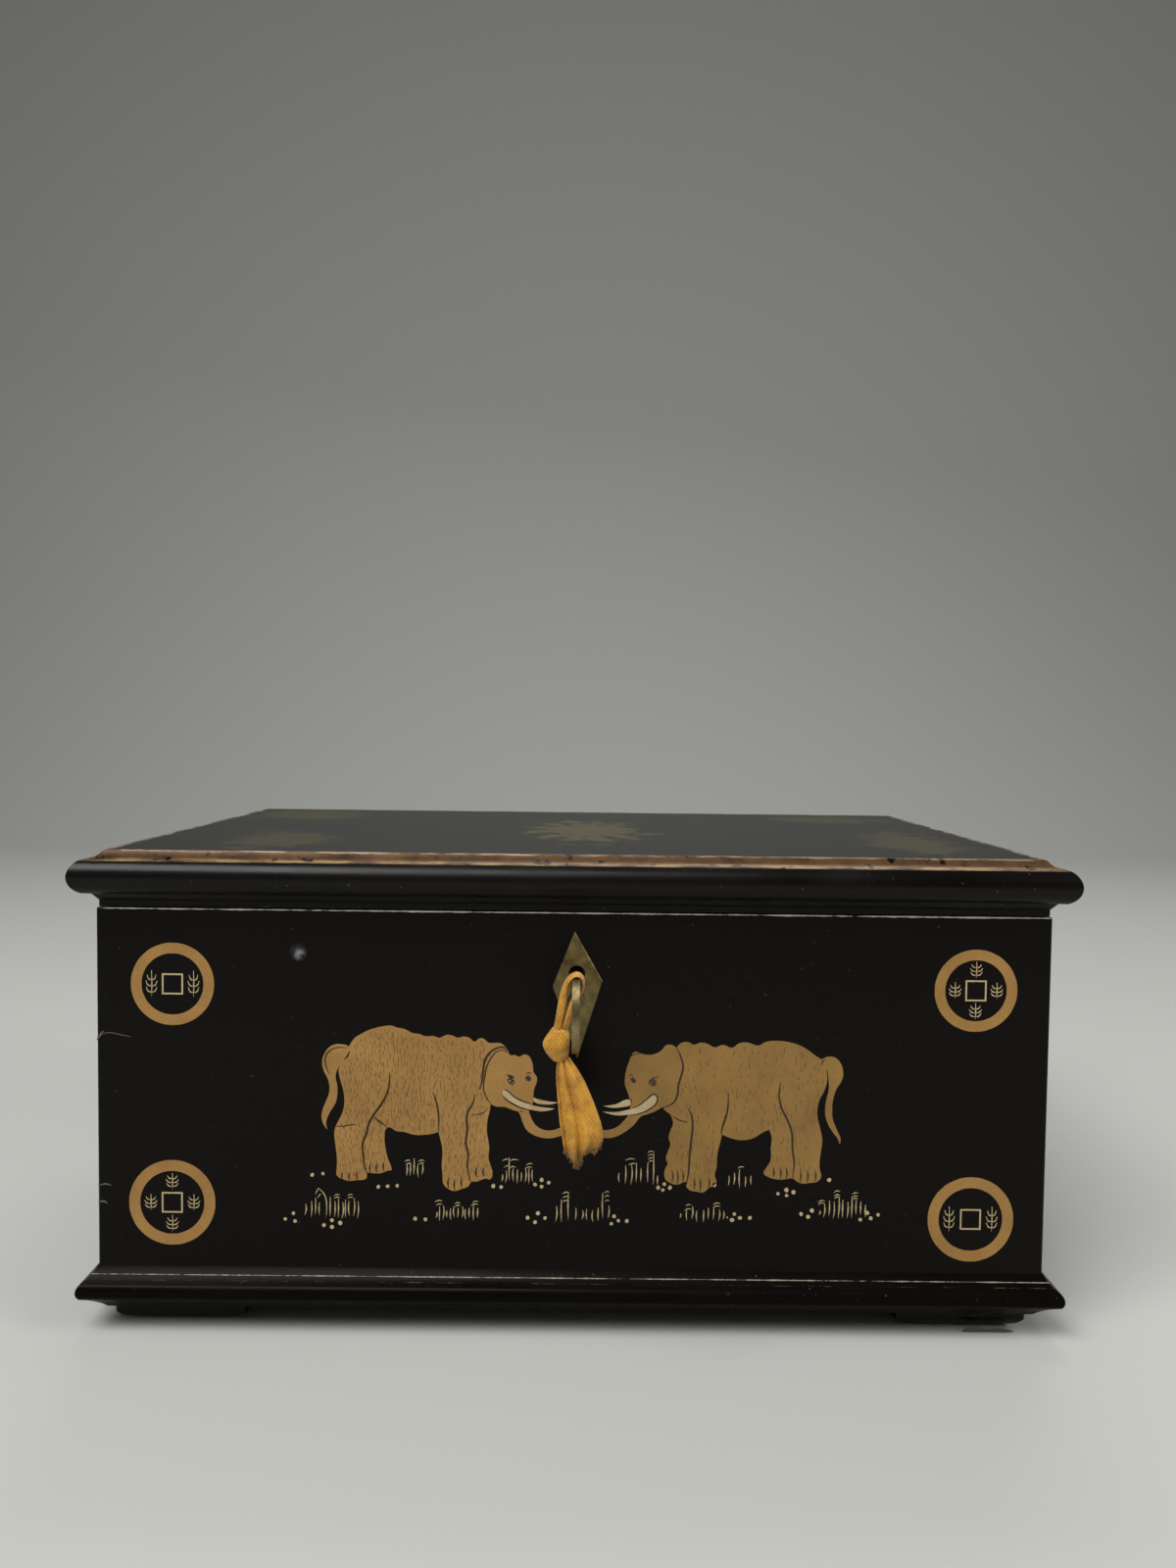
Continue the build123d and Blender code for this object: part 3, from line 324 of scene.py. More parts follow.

# Its lower rim has a painted highlight of bright gold, and its upper rim is pale, partly
# rubbed to the ground and partly painted highlight.
lengthwise = node(tree, "Mapping", {"Vector": place, "Scale": (60, 60, 700)})
rim_streaks = {"Vector": lengthwise, "Scale": 1.0, "Detail": 5.0, "Roughness": 0.7}
rim_streaks = node(tree, "TexNoise", rim_streaks)
low_rim_highlight = {0: up, 1: GILT_FOOT + 0.0003, 2: GILT_FOOT + 0.0009, 3: 0.8, 4: 0.0}
low_rim_highlight = node(tree, "MapRange", low_rim_highlight)
broken = node(tree, "MapRange", {0: rim_streaks, 1: 0.42, 2: 0.58})
low_rim_highlight = node(tree, "Math", {0: low_rim_highlight, 1: broken}, operation="MULTIPLY")
leaf = node(tree, "Mix", {0: low_rim_highlight, 6: leaf, 7: linear("#A08458")}, 2, data_type="RGBA")
top_rim_wear_and_highlight = {0: up, 1: LID_TOP - 0.0012, 2: LID_TOP - 0.0002, 3: -0.4, 4: 0.1}
top_rim_wear_and_highlight = node(tree, "MapRange", top_rim_wear_and_highlight)
top_rim_wear_and_highlight = node(tree, "Math", {0: rim_streaks, 1: top_rim_wear_and_highlight}, operation="ADD")
top_rim_wear_and_highlight = node(tree, "MapRange", {0: top_rim_wear_and_highlight, 1: 0.55, 2: 0.66, 4: 0.85})
leaf = node(tree, "Mix", {0: top_rim_wear_and_highlight, 6: leaf, 7: linear("#9A8672")}, 2, data_type="RGBA")

# The leaf lies on the hollow alone, with gaps, and the pits under it are painted black as the
# shade in them.
is_gilt = node(tree, "MapRange", {0: up, 1: GILT_FOOT - 0.0001, 2: GILT_FOOT})
lost = node(tree, "TexNoise", {"Vector": place, "Scale": 210.0, "Detail": 6.0})
lost = node(tree, "MapRange", {0: lost, 1: 0.66, 2: 0.6})
is_gilt = node(tree, "Math", {0: is_gilt, 1: lost}, operation="MULTIPLY")
surface = node(tree, "Mix", {0: is_gilt, 6: colour, 7: leaf}, 2, data_type="RGBA")
for x, height, radius in PITS:
    at = (x * MM, PIT_FACE, height * MM)
    away = node(tree, "VectorMath", {0: place, 1: at}, "Value", operation="DISTANCE")
    hole = {0: away, 1: radius * MM, 2: radius * MM * 1.5, 3: 1.0, 4: 0.0}
    hole = node(tree, "MapRange", hole)
    surface = node(tree, "Mix", {0: hole, 6: surface, 7: linear("#030202")}, 2, data_type="RGBA")
tree.links.new(surface, shader.inputs["Base Color"])
dull = shader.inputs["Roughness"].links[0].from_socket
tree.links.new(node(tree, "Mix", {0: is_gilt, 2: dull, 3: 0.42}), shader.inputs["Roughness"])
metal = node(tree, "Math", {0: is_gilt, 1: 0.2}, operation="MULTIPLY")
tree.links.new(metal, shader.inputs["Metallic"])
dress([f"lid_moulding_{side}" for side in SIDES], gilded)

# The panel had a gold roundel and patches of gold towards its corners. Polish has taken them
# down to ragged olive stains, duller than the black about them.
PATCHES = (
    ((0.0035, -0.005), (0.027, 0.056), 0.75),
    ((-0.134, 0.069), (0.032, 0.036), 0.45),
    ((-0.116, -0.063), (0.022, 0.038), 0.45),
    ((0.126, 0.070), (0.032, 0.022), 0.45),
    ((0.136, -0.046), (0.020, 0.055), 0.45),
)
ROUNDEL_PETALS = 12

panel, tree, shader, place, colour = lacquer("black_lacquer_lid_panel")
axes = node(tree, "SeparateXYZ", {0: place}, None).outputs
tatters = {"Vector": place, "Scale": 90.0, "Detail": 8.0, "Roughness": 0.72}
tatters = node(tree, "TexNoise", tatters)
ragged = node(tree, "MapRange", {0: tatters, 1: 0.25, 2: 0.75, 3: -0.7, 4: 0.7})
faint = 0.0
for number, (middle, reach, strength) in enumerate(PATCHES):
    spans = []
    for axis in (0, 1):
        off = node(tree, "Math", {0: axes[axis], 1: middle[axis]}, operation="SUBTRACT")
        spans.append(node(tree, "Math", {0: off, 1: reach[axis]}, operation="DIVIDE"))
    across, along = spans
    squares = node(tree, "Math", {0: along, 1: along}, operation="MULTIPLY")
    squares = node(tree, "Math", {0: across, 1: across, 2: squares}, operation="MULTIPLY_ADD")
    out = node(tree, "Math", {0: squares}, operation="SQRT")
    out = node(tree, "Math", {0: out, 1: ragged}, operation="ADD")
    if number == 0:
        petal = node(tree, "Math", {0: along, 1: across}, operation="ARCTAN2")
        petal = node(tree, "Math", {0: petal, 1: ROUNDEL_PETALS}, operation="MULTIPLY")
        petal = node(tree, "Math", {0: petal}, operation="COSINE")
        out = node(tree, "Math", {0: petal, 1: 0.16, 2: out}, operation="MULTIPLY_ADD")
    stain = node(tree, "MapRange", {0: out, 1: 0.7, 2: 1.0, 3: strength, 4: 0.0})
    faint = node(tree, "Math", {0: stain, 1: faint}, operation="MAXIMUM")
is_top = node(tree, "MapRange", {0: axes[2], 1: LID_TOP - MM, 2: LID_TOP})
faint = node(tree, "Math", {0: faint, 1: is_top}, operation="MULTIPLY")
colour = node(tree, "Mix", {0: faint, 6: colour, 7: linear("#55503A")}, 2, data_type="RGBA")
tree.links.new(colour, shader.inputs["Base Color"])
dull = node(tree, "Math", {0: faint, 1: 0.3, 2: 0.34}, operation="MULTIPLY_ADD")
tree.links.new(dull, shader.inputs["Roughness"])
dress(["lid_panel"], panel)

# ---- Brass of the lock, the hinges and the key ----
# The lock and the hinges are cut from sheet and let into the wood with screws, and the key is
# cast and filed. All are dull and brown with age, and brighter where they are handled.


def brass(name, clean, dark, roughness):
    """Old metal: tarnished in patches of 6 mm, and a little hammered by use."""
    made, tree, shader, place = material(name, {"Metallic": 1.0})
    tarnish = {"Vector": place, "Scale": 160.0, "Detail": 6.0, "Roughness": 0.7}
    tarnish = node(tree, "TexNoise", tarnish)
    spread = node(tree, "MapRange", {0: tarnish, 1: 0.35, 2: 0.65})
    colour = node(tree, "Mix", {0: spread, 6: linear(clean), 7: linear(dark)}, 2, data_type="RGBA")
    tree.links.new(colour, shader.inputs["Base Color"])
    dull = node(tree, "MapRange", {0: tarnish, 3: roughness - 0.08, 4: roughness + 0.15})
    tree.links.new(dull, shader.inputs["Roughness"])
    dents = node(tree, "Bump", {"Height": tarnish, "Strength": 0.25, "Distance": 0.0003})
    tree.links.new(dents, shader.inputs["Normal"])
    return made


# Brass is yellow when clean. The plate has gone olive, the key greyish, and the hinges and the
# inside of the lock, which are hardly touched, are still warm. The spring is steel, blued by
# tempering.
dress(["escutcheon"], brass("aged_brass_plate", "#968456", "#5C4D34", 0.45))
dress(["key"], brass("aged_brass_key", "#9A8A62", "#5A4C34", 0.36))
lock_brass = brass("aged_brass_lock", "#A08A55", "#6A5632", 0.38)
dress([f"lock_{piece}" for piece in ("plate", "cover", "screws", "bolt")], lock_brass)
dress([f"link_{piece}" for piece in ("plate", "lugs", "screws")], lock_brass)
for side in ("left", "right"):
    pieces = ("case_leaf", "lid_leaf", "pin")
    dress([f"hinge_{side}_{piece}" for piece in pieces], lock_brass)
dress(["hinge_case_screws", "hinge_lid_screws"], lock_brass)
dress(["lock_spring"], brass("blued_steel_spring", "#7D7F84", "#4A4B50", 0.35))

# ---- Gold painting on the front: two elephants ----
# Gold dust on wet lacquer, burnished to a skin a tenth of a millimetre thick that lies on
# the board, with its inner lines drawn over it with a fine brush in black lacquer.

FRONT_FACE = -CASE_END
SKIN = 0.00010
TAIL_SKIN = SKIN * 1.2
HEAD_SKIN = SKIN * 1.5
LINES_PROUD = SKIN * 1.55
TUSK_SKIN = SKIN * 2.4
BOLD = 1.3  # width of the brush lines, against the drawing's


def gold(name, bright, dark):
    """Sprinkled gold: grains of 0.4 mm, twice the real size, cloudy where it is thin.

    Dust on lacquer hardly shines, and it goes rosy where the ground shows through.
    """
    finish = {"Metallic": 0.15, "Roughness": 0.5, "Specular IOR Level": 0.3}
    made, tree, shader, place = material(name, finish)
    clouds = {"Vector": place, "Scale": 55.0, "Detail": 5.0, "Roughness": 0.6}
    thin = node(tree, "MapRange", {0: node(tree, "TexNoise", clouds), 1: 0.3, 2: 0.7})
    grains = node(tree, "TexNoise", {"Vector": place, "Scale": 2400.0, "Detail": 2.0})
    grains = node(tree, "MapRange", {0: grains, 1: 0.3, 2: 0.7})
    share = node(tree, "Math", {0: thin, 1: 0.55}, operation="MULTIPLY")
    share = node(tree, "Math", {0: grains, 1: 0.4, 2: share}, operation="MULTIPLY_ADD")
    colour = node(tree, "Mix", {0: share, 6: linear(bright), 7: linear(dark)}, 2, data_type="RGBA")
    rosy = node(tree, "TexNoise", {"Vector": place, "Scale": 140.0, "Detail": 2.0})
    rosy = node(tree, "MapRange", {0: rosy, 1: 0.62, 2: 0.75, 4: 0.35})
    colour = node(tree, "Mix", {0: rosy, 6: colour, 7: linear("#A0683A")}, 2, data_type="RGBA")
    tree.links.new(colour, shader.inputs["Base Color"])
    dusting = node(tree, "Bump", {"Height": grains, "Strength": 0.15, "Distance": 0.0001})
    tree.links.new(dusting, shader.inputs["Normal"])
    return made


bright_gold = gold("sprinkled_gold_bright", "#AF854A", "#876435")
dull_gold = gold("sprinkled_gold_dull", "#9E7B40", "#785930")
pale_gold = gold("sprinkled_gold_pale", "#CBB78C", "#A3916B")


def brush_line(name, dark, pale):
    """Black lacquer, full or thinned, with more and less of it along the brush's line."""
    made, tree, shader, place = material(name, {"Roughness": 0.42})
    load = node(tree, "TexNoise", {"Vector": place, "Scale": 300.0, "Detail": 3.0})
    shade = node(tree, "Mix", {0: load, 6: linear(dark), 7: linear(pale)}, 2, data_type="RGBA")
    tree.links.new(shade, shader.inputs["Base Color"])
    return made


black_line = brush_line("black_lacquer_line", "#120C07", "#33240F")
hair_line = brush_line("thinned_lacquer_line", "#4E3518", "#6E5028")


def on_front(sheet, points):
    """Points of a drawing sheet of the front, as metres across and up from the table."""
    left, top, across, down, lean = sheet
    return [
        ((left + across * x + lean * y) * MM, (top - down * y + lean * x) * MM) for x, y in points
    ]


def pick(piece):
    """Makes a piece the only one that an operator acts on."""
    deselect()
    piece.select_set(True)
    bpy.context.view_layer.objects.active = piece


def lay_on_front(piece, proud, finish):
    """Makes a flat drawing a mesh that stands on the front board, and gives it its finish."""
    pick(piece)
    bpy.ops.object.convert(target="MESH")
    piece.rotation_euler = (math.pi / 2, 0, 0)
    piece.location = (0, FRONT_FACE - proud, 0)
    bpy.ops.object.transform_apply(location=True, rotation=True, scale=True)
    bpy.ops.object.mode_set(mode="EDIT")
    bpy.ops.mesh.select_all(action="SELECT")
    bpy.ops.mesh.remove_doubles(threshold=1e-7)
    bpy.ops.mesh.normals_make_consistent(inside=False)
    bpy.ops.object.mode_set(mode="OBJECT")
    piece.data.materials.clear()
    piece.data.materials.append(finish)
    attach(piece, "case")


SHARP = math.radians(80)  # an outline that turns by more than this has a corner there
SUNK = 0.00001  # how far a skin reaches into the board


def skin(name, outlines, thick, finish, corners="AUTO"):
    """A flat skin of gold, cut to closed outlines. An outline inside another is a hole."""
    drawing = bpy.data.curves.new(name, "CURVE")
    drawing.dimensions = "2D"
    drawing.fill_mode = "BOTH"
    drawing.extrude = thick / 2 + SUNK
    drawing.resolution_u = 3 if corners == "AUTO" else 1
    for outline in outlines:
        line = drawing.splines.new("BEZIER")
        line.bezier_points.add(len(outline) - 1)
        before_each, after_each = outline[-1:] + outline[:-1], outline[1:] + outline[:1]
        for point, before, at, after in zip(
            line.bezier_points, before_each, outline, after_each
        ):
            point.co = (*at, 0)
            into = Vector(at) - Vector(before)
            away = Vector(after) - Vector(at)
            kind = "VECTOR" if into.angle(away) > SHARP else corners
            point.handle_left_type = point.handle_right_type = kind
        line.use_cyclic_u = True
    piece = bpy.data.objects.new(name, drawing)
    bpy.context.collection.objects.link(piece)
    lay_on_front(piece, thick / 2 - SUNK, finish)
    return piece


STROKE_FLAT = 0.2  # height of a stroke, against its width


def strokes(name, lines, proud, finish, tip=0.35):
    """Brush strokes that thin out at both ends: lines are (points in metres, width in mm)."""
    drawing = bpy.data.curves.new(name, "CURVE")
    drawing.dimensions = "3D"
    drawing.bevel_depth = 1.0
    drawing.bevel_resolution = 0
    drawing.use_fill_caps = True
    drawing.resolution_u = 3
    for points, width in lines:
        line = drawing.splines.new("BEZIER")
        line.bezier_points.add(len(points) - 1)
        last = len(points) - 1
        for number, (point, (x, up)) in enumerate(zip(line.bezier_points, points)):
            point.co = (x, up, 0)
            point.handle_left_type = point.handle_right_type = "AUTO"
            full = math.sin(math.pi * number / last) ** 0.5
            point.radius = width * MM / 2 * (tip + (1 - tip) * full)
    piece = bpy.data.objects.new(name, drawing)
    bpy.context.collection.objects.link(piece)
    piece.scale = (1, 1, STROKE_FLAT)
    lay_on_front(piece, proud, finish)


def inside(point, outline):
    """Whether a point of a sheet lies within a closed outline."""
    x, y = point
    crossings = 0
    for (ax, ay), (bx, by) in zip(outline, outline[1:] + outline[:1]):
        if (ay > y) != (by > y) and x < ax + (y - ay) * (bx - ax) / (by - ay):
            crossings += 1
    return crossings % 2 == 1


HAIR_ACROSS = (120, 1500)
HAIR_DOWN = (120, 1080)
HAIR_MARGIN = 14


def hair(name, sheet, outline, rows, across, keep, seed):
    """Short upright hairs in rows over a body, left out near its edge."""
    draw = random.Random(seed)
    far = HAIR_MARGIN
    about = ((-far, 0), (far, 0), (0, far), (0, -far))
    lines = []
    for row in range(*HAIR_DOWN, rows):
        for column in range(*HAIR_ACROSS, across):
            x = column + draw.uniform(-0.4, 0.4) * across
            y = row + draw.uniform(-0.3, 0.3) * rows
            long = draw.uniform(16, 34)
            if draw.random() > keep:
                continue
            ends = [(x, y), (x + draw.uniform(-3, 3), y + long)]
            if all(
                inside((px + dx, py + dy), outline)
                for px, py in ends
                for dx, dy in about
            ):
                lines.append((on_front(sheet, ends), draw.uniform(0.24, 0.36)))
    strokes(name, lines, SKIN, hair_line, 0.7)


# A drawing sheet is its left and top edge in millimetres, millimetres across and down for a
# unit of the drawing, and its lean.
LEFT_SHEET = (-96.64, 117.11, 0.05587, 0.05665, 0.0006)

left_body = [
    (275, 260), (290, 235), (300, 220), (330, 180), (370, 155), (420, 130), (470, 115),
    (520, 105), (565, 103), (600, 115), (640, 122), (670, 135), (700, 150), (740, 155),
    (780, 170), (830, 168), (870, 180), (910, 162), (950, 165), (985, 180), (1020, 172),
    (1060, 180), (1095, 205), (1120, 185), (1150, 185), (1180, 210), (1215, 213), (1260, 215),
    (1290, 240), (1312, 275), (1300, 400), (1240, 520), (1195, 605), (1190, 640), (1175, 700),
    (1170, 780), (1185, 880), (1180, 950), (1195, 1000), (1205, 1050), (1190, 1085),
    (1160, 1080), (1130, 1090), (1100, 1100), (1070, 1100), (1050, 1130), (1010, 1145),
    (960, 1160), (920, 1145), (890, 1115), (885, 1060), (880, 1000), (885, 900), (875, 840),
    (860, 780), (830, 790), (780, 798), (700, 798), (640, 780), (590, 775), (545, 750),
    (525, 760), (515, 800), (520, 880), (535, 950), (555, 1000), (560, 1025), (530, 1030),
    (490, 1045), (440, 1045), (400, 1040), (395, 1080), (370, 1088), (330, 1090), (290, 1095),
    (250, 1085), (205, 1055), (205, 1040), (210, 960), (200, 860), (195, 770), (215, 720),
    (245, 660), (260, 590), (250, 500), (230, 430), (225, 380), (255, 315),
]  # fmt: skip
left_tail = [
    (285, 232), (250, 222), (200, 222), (160, 245), (135, 280), (120, 330), (130, 390),
    (150, 430), (165, 480), (160, 540), (135, 600), (115, 660), (115, 700), (130, 740),
    (150, 765), (142, 730), (150, 690), (175, 640), (205, 590), (215, 540), (215, 480),
    (205, 430), (210, 400), (225, 368), (262, 315), (290, 262),
]  # fmt: skip
left_head = [
    (1190, 300), (1215, 272), (1245, 255), (1280, 250), (1310, 275), (1320, 290), (1350, 290),
    (1380, 300), (1400, 288), (1430, 290), (1455, 320), (1465, 360), (1470, 400), (1490, 430),
    (1490, 460), (1475, 500), (1468, 540), (1470, 580), (1452, 620), (1440, 645), (1448, 675),
    (1462, 708), (1490, 745), (1535, 768), (1580, 772), (1626, 760), (1680, 738), (1745, 735),
    (1768, 755), (1745, 782), (1690, 790), (1631, 810), (1571, 822), (1501, 812), (1451, 790),
    (1420, 762), (1398, 715), (1370, 652), (1330, 640), (1280, 625), (1240, 620), (1195, 600),
    (1170, 560), (1152, 500), (1160, 420), (1165, 350),
]  # fmt: skip
left_near_tusk = [
    (1280, 512), (1305, 525), (1340, 558), (1400, 590), (1450, 607), (1520, 622), (1603, 632),
    (1568, 643), (1520, 648), (1480, 643), (1400, 624), (1340, 596), (1290, 562), (1268, 532),
]  # fmt: skip
left_far_tusk = [
    (1468, 562), (1510, 576), (1568, 586), (1623, 592), (1590, 602), (1540, 602), (1475, 588),
]  # fmt: skip

skin("left_elephant_body", [on_front(LEFT_SHEET, left_body)], SKIN, bright_gold)
skin("left_elephant_tail", [on_front(LEFT_SHEET, left_tail)], TAIL_SKIN, bright_gold)
skin("left_elephant_head", [on_front(LEFT_SHEET, left_head)], HEAD_SKIN, bright_gold)
tusks = [on_front(LEFT_SHEET, tusk) for tusk in (left_near_tusk, left_far_tusk)]
skin("left_elephant_tusks", tusks, TUSK_SKIN, pale_gold)
left_lines = [
    ([(1305, 262), (1275, 240), (1230, 246), (1190, 275), (1160, 320), (1148, 385),
      (1140, 450), (1126, 510)], 0.62),
    ([(1318, 284), (1275, 258), (1235, 268), (1200, 305), (1172, 360), (1158, 425),
      (1150, 505), (1172, 566), (1200, 606)], 0.42),
    ([(280, 245), (220, 240), (165, 265), (140, 310), (145, 360), (165, 410)], 0.4),
    ([(262, 318), (285, 290), (296, 262)], 0.5),
    ([(550, 400), (548, 470), (530, 540), (490, 610), (440, 680), (410, 740), (400, 790),
      (375, 850), (378, 930), (385, 1000), (400, 1042)], 0.62),
    ([(440, 680), (480, 710), (530, 748)], 0.5),
    ([(205, 745), (250, 742), (300, 735), (340, 730)], 0.35),
    ([(825, 520), (850, 600), (862, 680), (860, 782)], 0.5),
    ([(1095, 540), (1080, 600), (1050, 650), (1040, 700), (1045, 760), (1035, 850),
      (1050, 920), (1045, 1000), (1065, 1100)], 0.6),
    ([(1075, 670), (1130, 665), (1180, 630)], 0.35),
    ([(1240, 618), (1282, 622), (1330, 640), (1368, 650)], 0.3),
    ([(1280, 508), (1306, 522), (1342, 554), (1402, 584), (1452, 600)], 0.5),
    ([(1266, 530), (1288, 566), (1338, 602), (1398, 629), (1450, 642)], 0.5),
    ([(1462, 556), (1482, 564), (1520, 574), (1570, 582)], 0.35),
    ([(1466, 590), (1500, 600), (1540, 608), (1600, 612)], 0.5),
    ([(1375, 655), (1392, 648), (1408, 652)], 0.3),
    ([(1300, 420), (1318, 428), (1345, 436)], 0.4),
]  # fmt: skip
toes = [(245, 1040, 1085), (290, 1038, 1090), (340, 1038, 1086), (425, 985, 1040)]
toes += [(465, 980, 1040), (510, 975, 1030), (925, 1075, 1142), (965, 1080, 1155)]
toes += [(1010, 1070, 1140), (1105, 1010, 1070), (1150, 1005, 1065)]
for x, top, foot in toes:
    left_lines.append(([(x, top), (x - 6, (top + foot) / 2), (x - 2, foot)], 0.5))


def eye(x, y, half, slant):
    """Two lids and a pupil, as strokes on a sheet."""
    lid = [(x - half, y + slant), (x - half / 3, y - half * 0.8), (x + half, y - slant)]
    low = [(x - half, y + slant), (x + half / 4, y + half * 0.7), (x + half, y - slant)]
    pupil = [(x - 2, y - 7), (x + 1, y), (x, y + 8)]
    return [(lid, 0.72), (low, 0.5), (pupil, 1.25)]


left_lines += eye(1326, 458, 24, -3) + eye(1436, 440, 17, 4)
brows = [([(1296, 414), (1330, 424), (1352, 438)], 0.45)]
brows += [([(1418, 410), (1440, 402), (1458, 410)], 0.4)]
left_lines += brows
strokes(
    "left_elephant_lines",
    [(on_front(LEFT_SHEET, points), width * BOLD) for points, width in left_lines],
    LINES_PROUD,
    black_line,
)
hair("left_elephant_hair", LEFT_SHEET, left_body, 27, 21, 0.62, 3)

RIGHT_SHEET = (4.99, 118.16, 0.06258, 0.06344, 0.0007)

right_body = [
    (505, 215), (530, 190), (570, 185), (600, 200), (640, 188), (680, 195), (720, 215),
    (770, 200), (820, 218), (860, 192), (910, 188), (970, 205), (1010, 185), (1070, 178),
    (1140, 185), (1210, 205), (1260, 235), (1300, 265), (1330, 285), (1355, 330), (1365, 400),
    (1350, 460), (1320, 520), (1310, 600), (1325, 670), (1340, 740), (1330, 830), (1325, 900),
    (1335, 960), (1310, 985), (1275, 990), (1235, 995), (1200, 985), (1170, 965), (1130, 970),
    (1080, 970), (1030, 955), (1005, 935), (1020, 905), (1045, 860), (1045, 790), (1050, 730),
    (1035, 685), (1000, 700), (940, 735), (880, 745), (820, 735), (765, 712), (755, 760),
    (740, 820), (735, 900), (725, 950), (735, 985), (720, 1005), (690, 1020), (660, 1045),
    (620, 1040), (580, 1030), (562, 1010), (565, 985), (550, 985), (510, 1000), (470, 990),
    (440, 965), (440, 910), (455, 880), (445, 850), (460, 800), (470, 770), (460, 730),
    (470, 690), (485, 650), (480, 625), (470, 600), (440, 575), (425, 550), (460, 400),
    (480, 280),
]  # fmt: skip
right_head = [
    (440, 205), (470, 200), (500, 215), (520, 250), (535, 310), (530, 370), (515, 420),
    (505, 480), (480, 530), (420, 557), (380, 580), (330, 598), (301, 608), (261, 656),
    (216, 692), (172, 718), (127, 731), (96, 732), (30, 722), (-20, 716), (-42, 698),
    (-20, 682), (30, 682), (87, 687), (118, 685), (163, 670), (198, 638), (230, 598),
    (238, 560), (238, 520), (225, 470), (210, 430), (210, 380), (220, 330), (235, 290),
    (245, 265), (265, 240), (300, 250), (340, 258), (380, 252), (420, 230),
]  # fmt: skip
right_tail = [
    (1322, 290), (1340, 280), (1370, 268), (1410, 275), (1440, 305), (1455, 350), (1450, 400),
    (1420, 450), (1400, 510), (1395, 570), (1400, 630), (1425, 690), (1445, 740), (1440, 770),
    (1430, 740), (1400, 700), (1370, 650), (1355, 590), (1360, 520), (1375, 450), (1372, 400),
    (1365, 350), (1338, 312),
]  # fmt: skip
right_far_tusk = [
    (86, 549), (160, 538), (220, 512), (240, 515), (240, 540), (200, 553), (140, 558),
]  # fmt: skip
right_near_tusk = [
    (84, 581), (150, 584), (230, 569), (290, 549), (340, 511), (375, 485), (390, 500),
    (385, 530), (350, 560), (300, 585), (230, 598), (150, 600),
]  # fmt: skip
skin("right_elephant_body", [on_front(RIGHT_SHEET, right_body)], SKIN, dull_gold)
skin("right_elephant_tail", [on_front(RIGHT_SHEET, right_tail)], TAIL_SKIN, dull_gold)
skin("right_elephant_head", [on_front(RIGHT_SHEET, right_head)], HEAD_SKIN, dull_gold)
tusks = [on_front(RIGHT_SHEET, tusk) for tusk in (right_near_tusk, right_far_tusk)]
skin("right_elephant_tusks", tusks, TUSK_SKIN, pale_gold)
right_lines = [
    ([(505, 216), (528, 270), (541, 330), (526, 390), (514, 430), (510, 484), (484, 532),
      (424, 560)], 0.55),
    ([(238, 268), (250, 262), (272, 252), (300, 254)], 0.35),
    ([(570, 560), (590, 600), (597, 660), (590, 740), (580, 830), (575, 930),
      (562, 1000)], 0.55),
    ([(800, 470), (798, 560), (785, 620), (765, 680), (760, 714)], 0.5),
    ([(1100, 410), (1090, 480), (1105, 560), (1140, 630), (1165, 700), (1170, 800),
      (1180, 870), (1172, 962)], 0.55),
    ([(480, 605), (520, 630), (570, 640)], 0.35),
    ([(236, 566), (290, 545), (338, 507), (374, 481), (394, 500), (388, 534), (352, 565),
      (300, 590), (236, 602)], 0.42),
    ([(222, 508), (244, 514), (243, 542)], 0.35),
    ([(1330, 315), (1338, 295), (1352, 280)], 0.4),
    ([(350, 402), (375, 388), (405, 381)], 0.4),
    ([(232, 380), (245, 372), (256, 374)], 0.3),
]  # fmt: skip
toes = [(605, 965, 1030), (640, 960, 1040), (690, 960, 1018), (480, 918, 985), (510, 915, 995)]
toes += [(540, 918, 985), (1215, 918, 985), (1255, 915, 990), (1300, 915, 982)]
toes += [(1060, 902, 960), (1100, 900, 965), (1135, 905, 965)]
for x, top, foot in toes:
    right_lines.append(([(x, top), (x + 5, (top + foot) / 2), (x, foot)], 0.45))
right_lines += eye(368, 416, 22, 5) + eye(257, 402, 15, -7)
strokes(
    "right_elephant_lines",
    [(on_front(RIGHT_SHEET, points), width * BOLD) for points, width in right_lines],
    LINES_PROUD,
    black_line,
)
hair("right_elephant_hair", RIGHT_SHEET, right_body, 30, 26, 0.35, 5)

# ---- Grass and pebbles under the elephants ----
# Each tuft is a row of single upward brush strokes with a few drooping tips laid across it,
# and each pebble is one touch of the brush.

GRASS_SHEETS = {
    "left": (-106.62, 69.03, 0.04917, 0.04985, 0.00055),
    "middle": (-31.27, 69.82, 0.04917, 0.04985, 0.00055),
    "right": (33.56, 70.49, 0.05141, 0.05212, 0.00055),
}
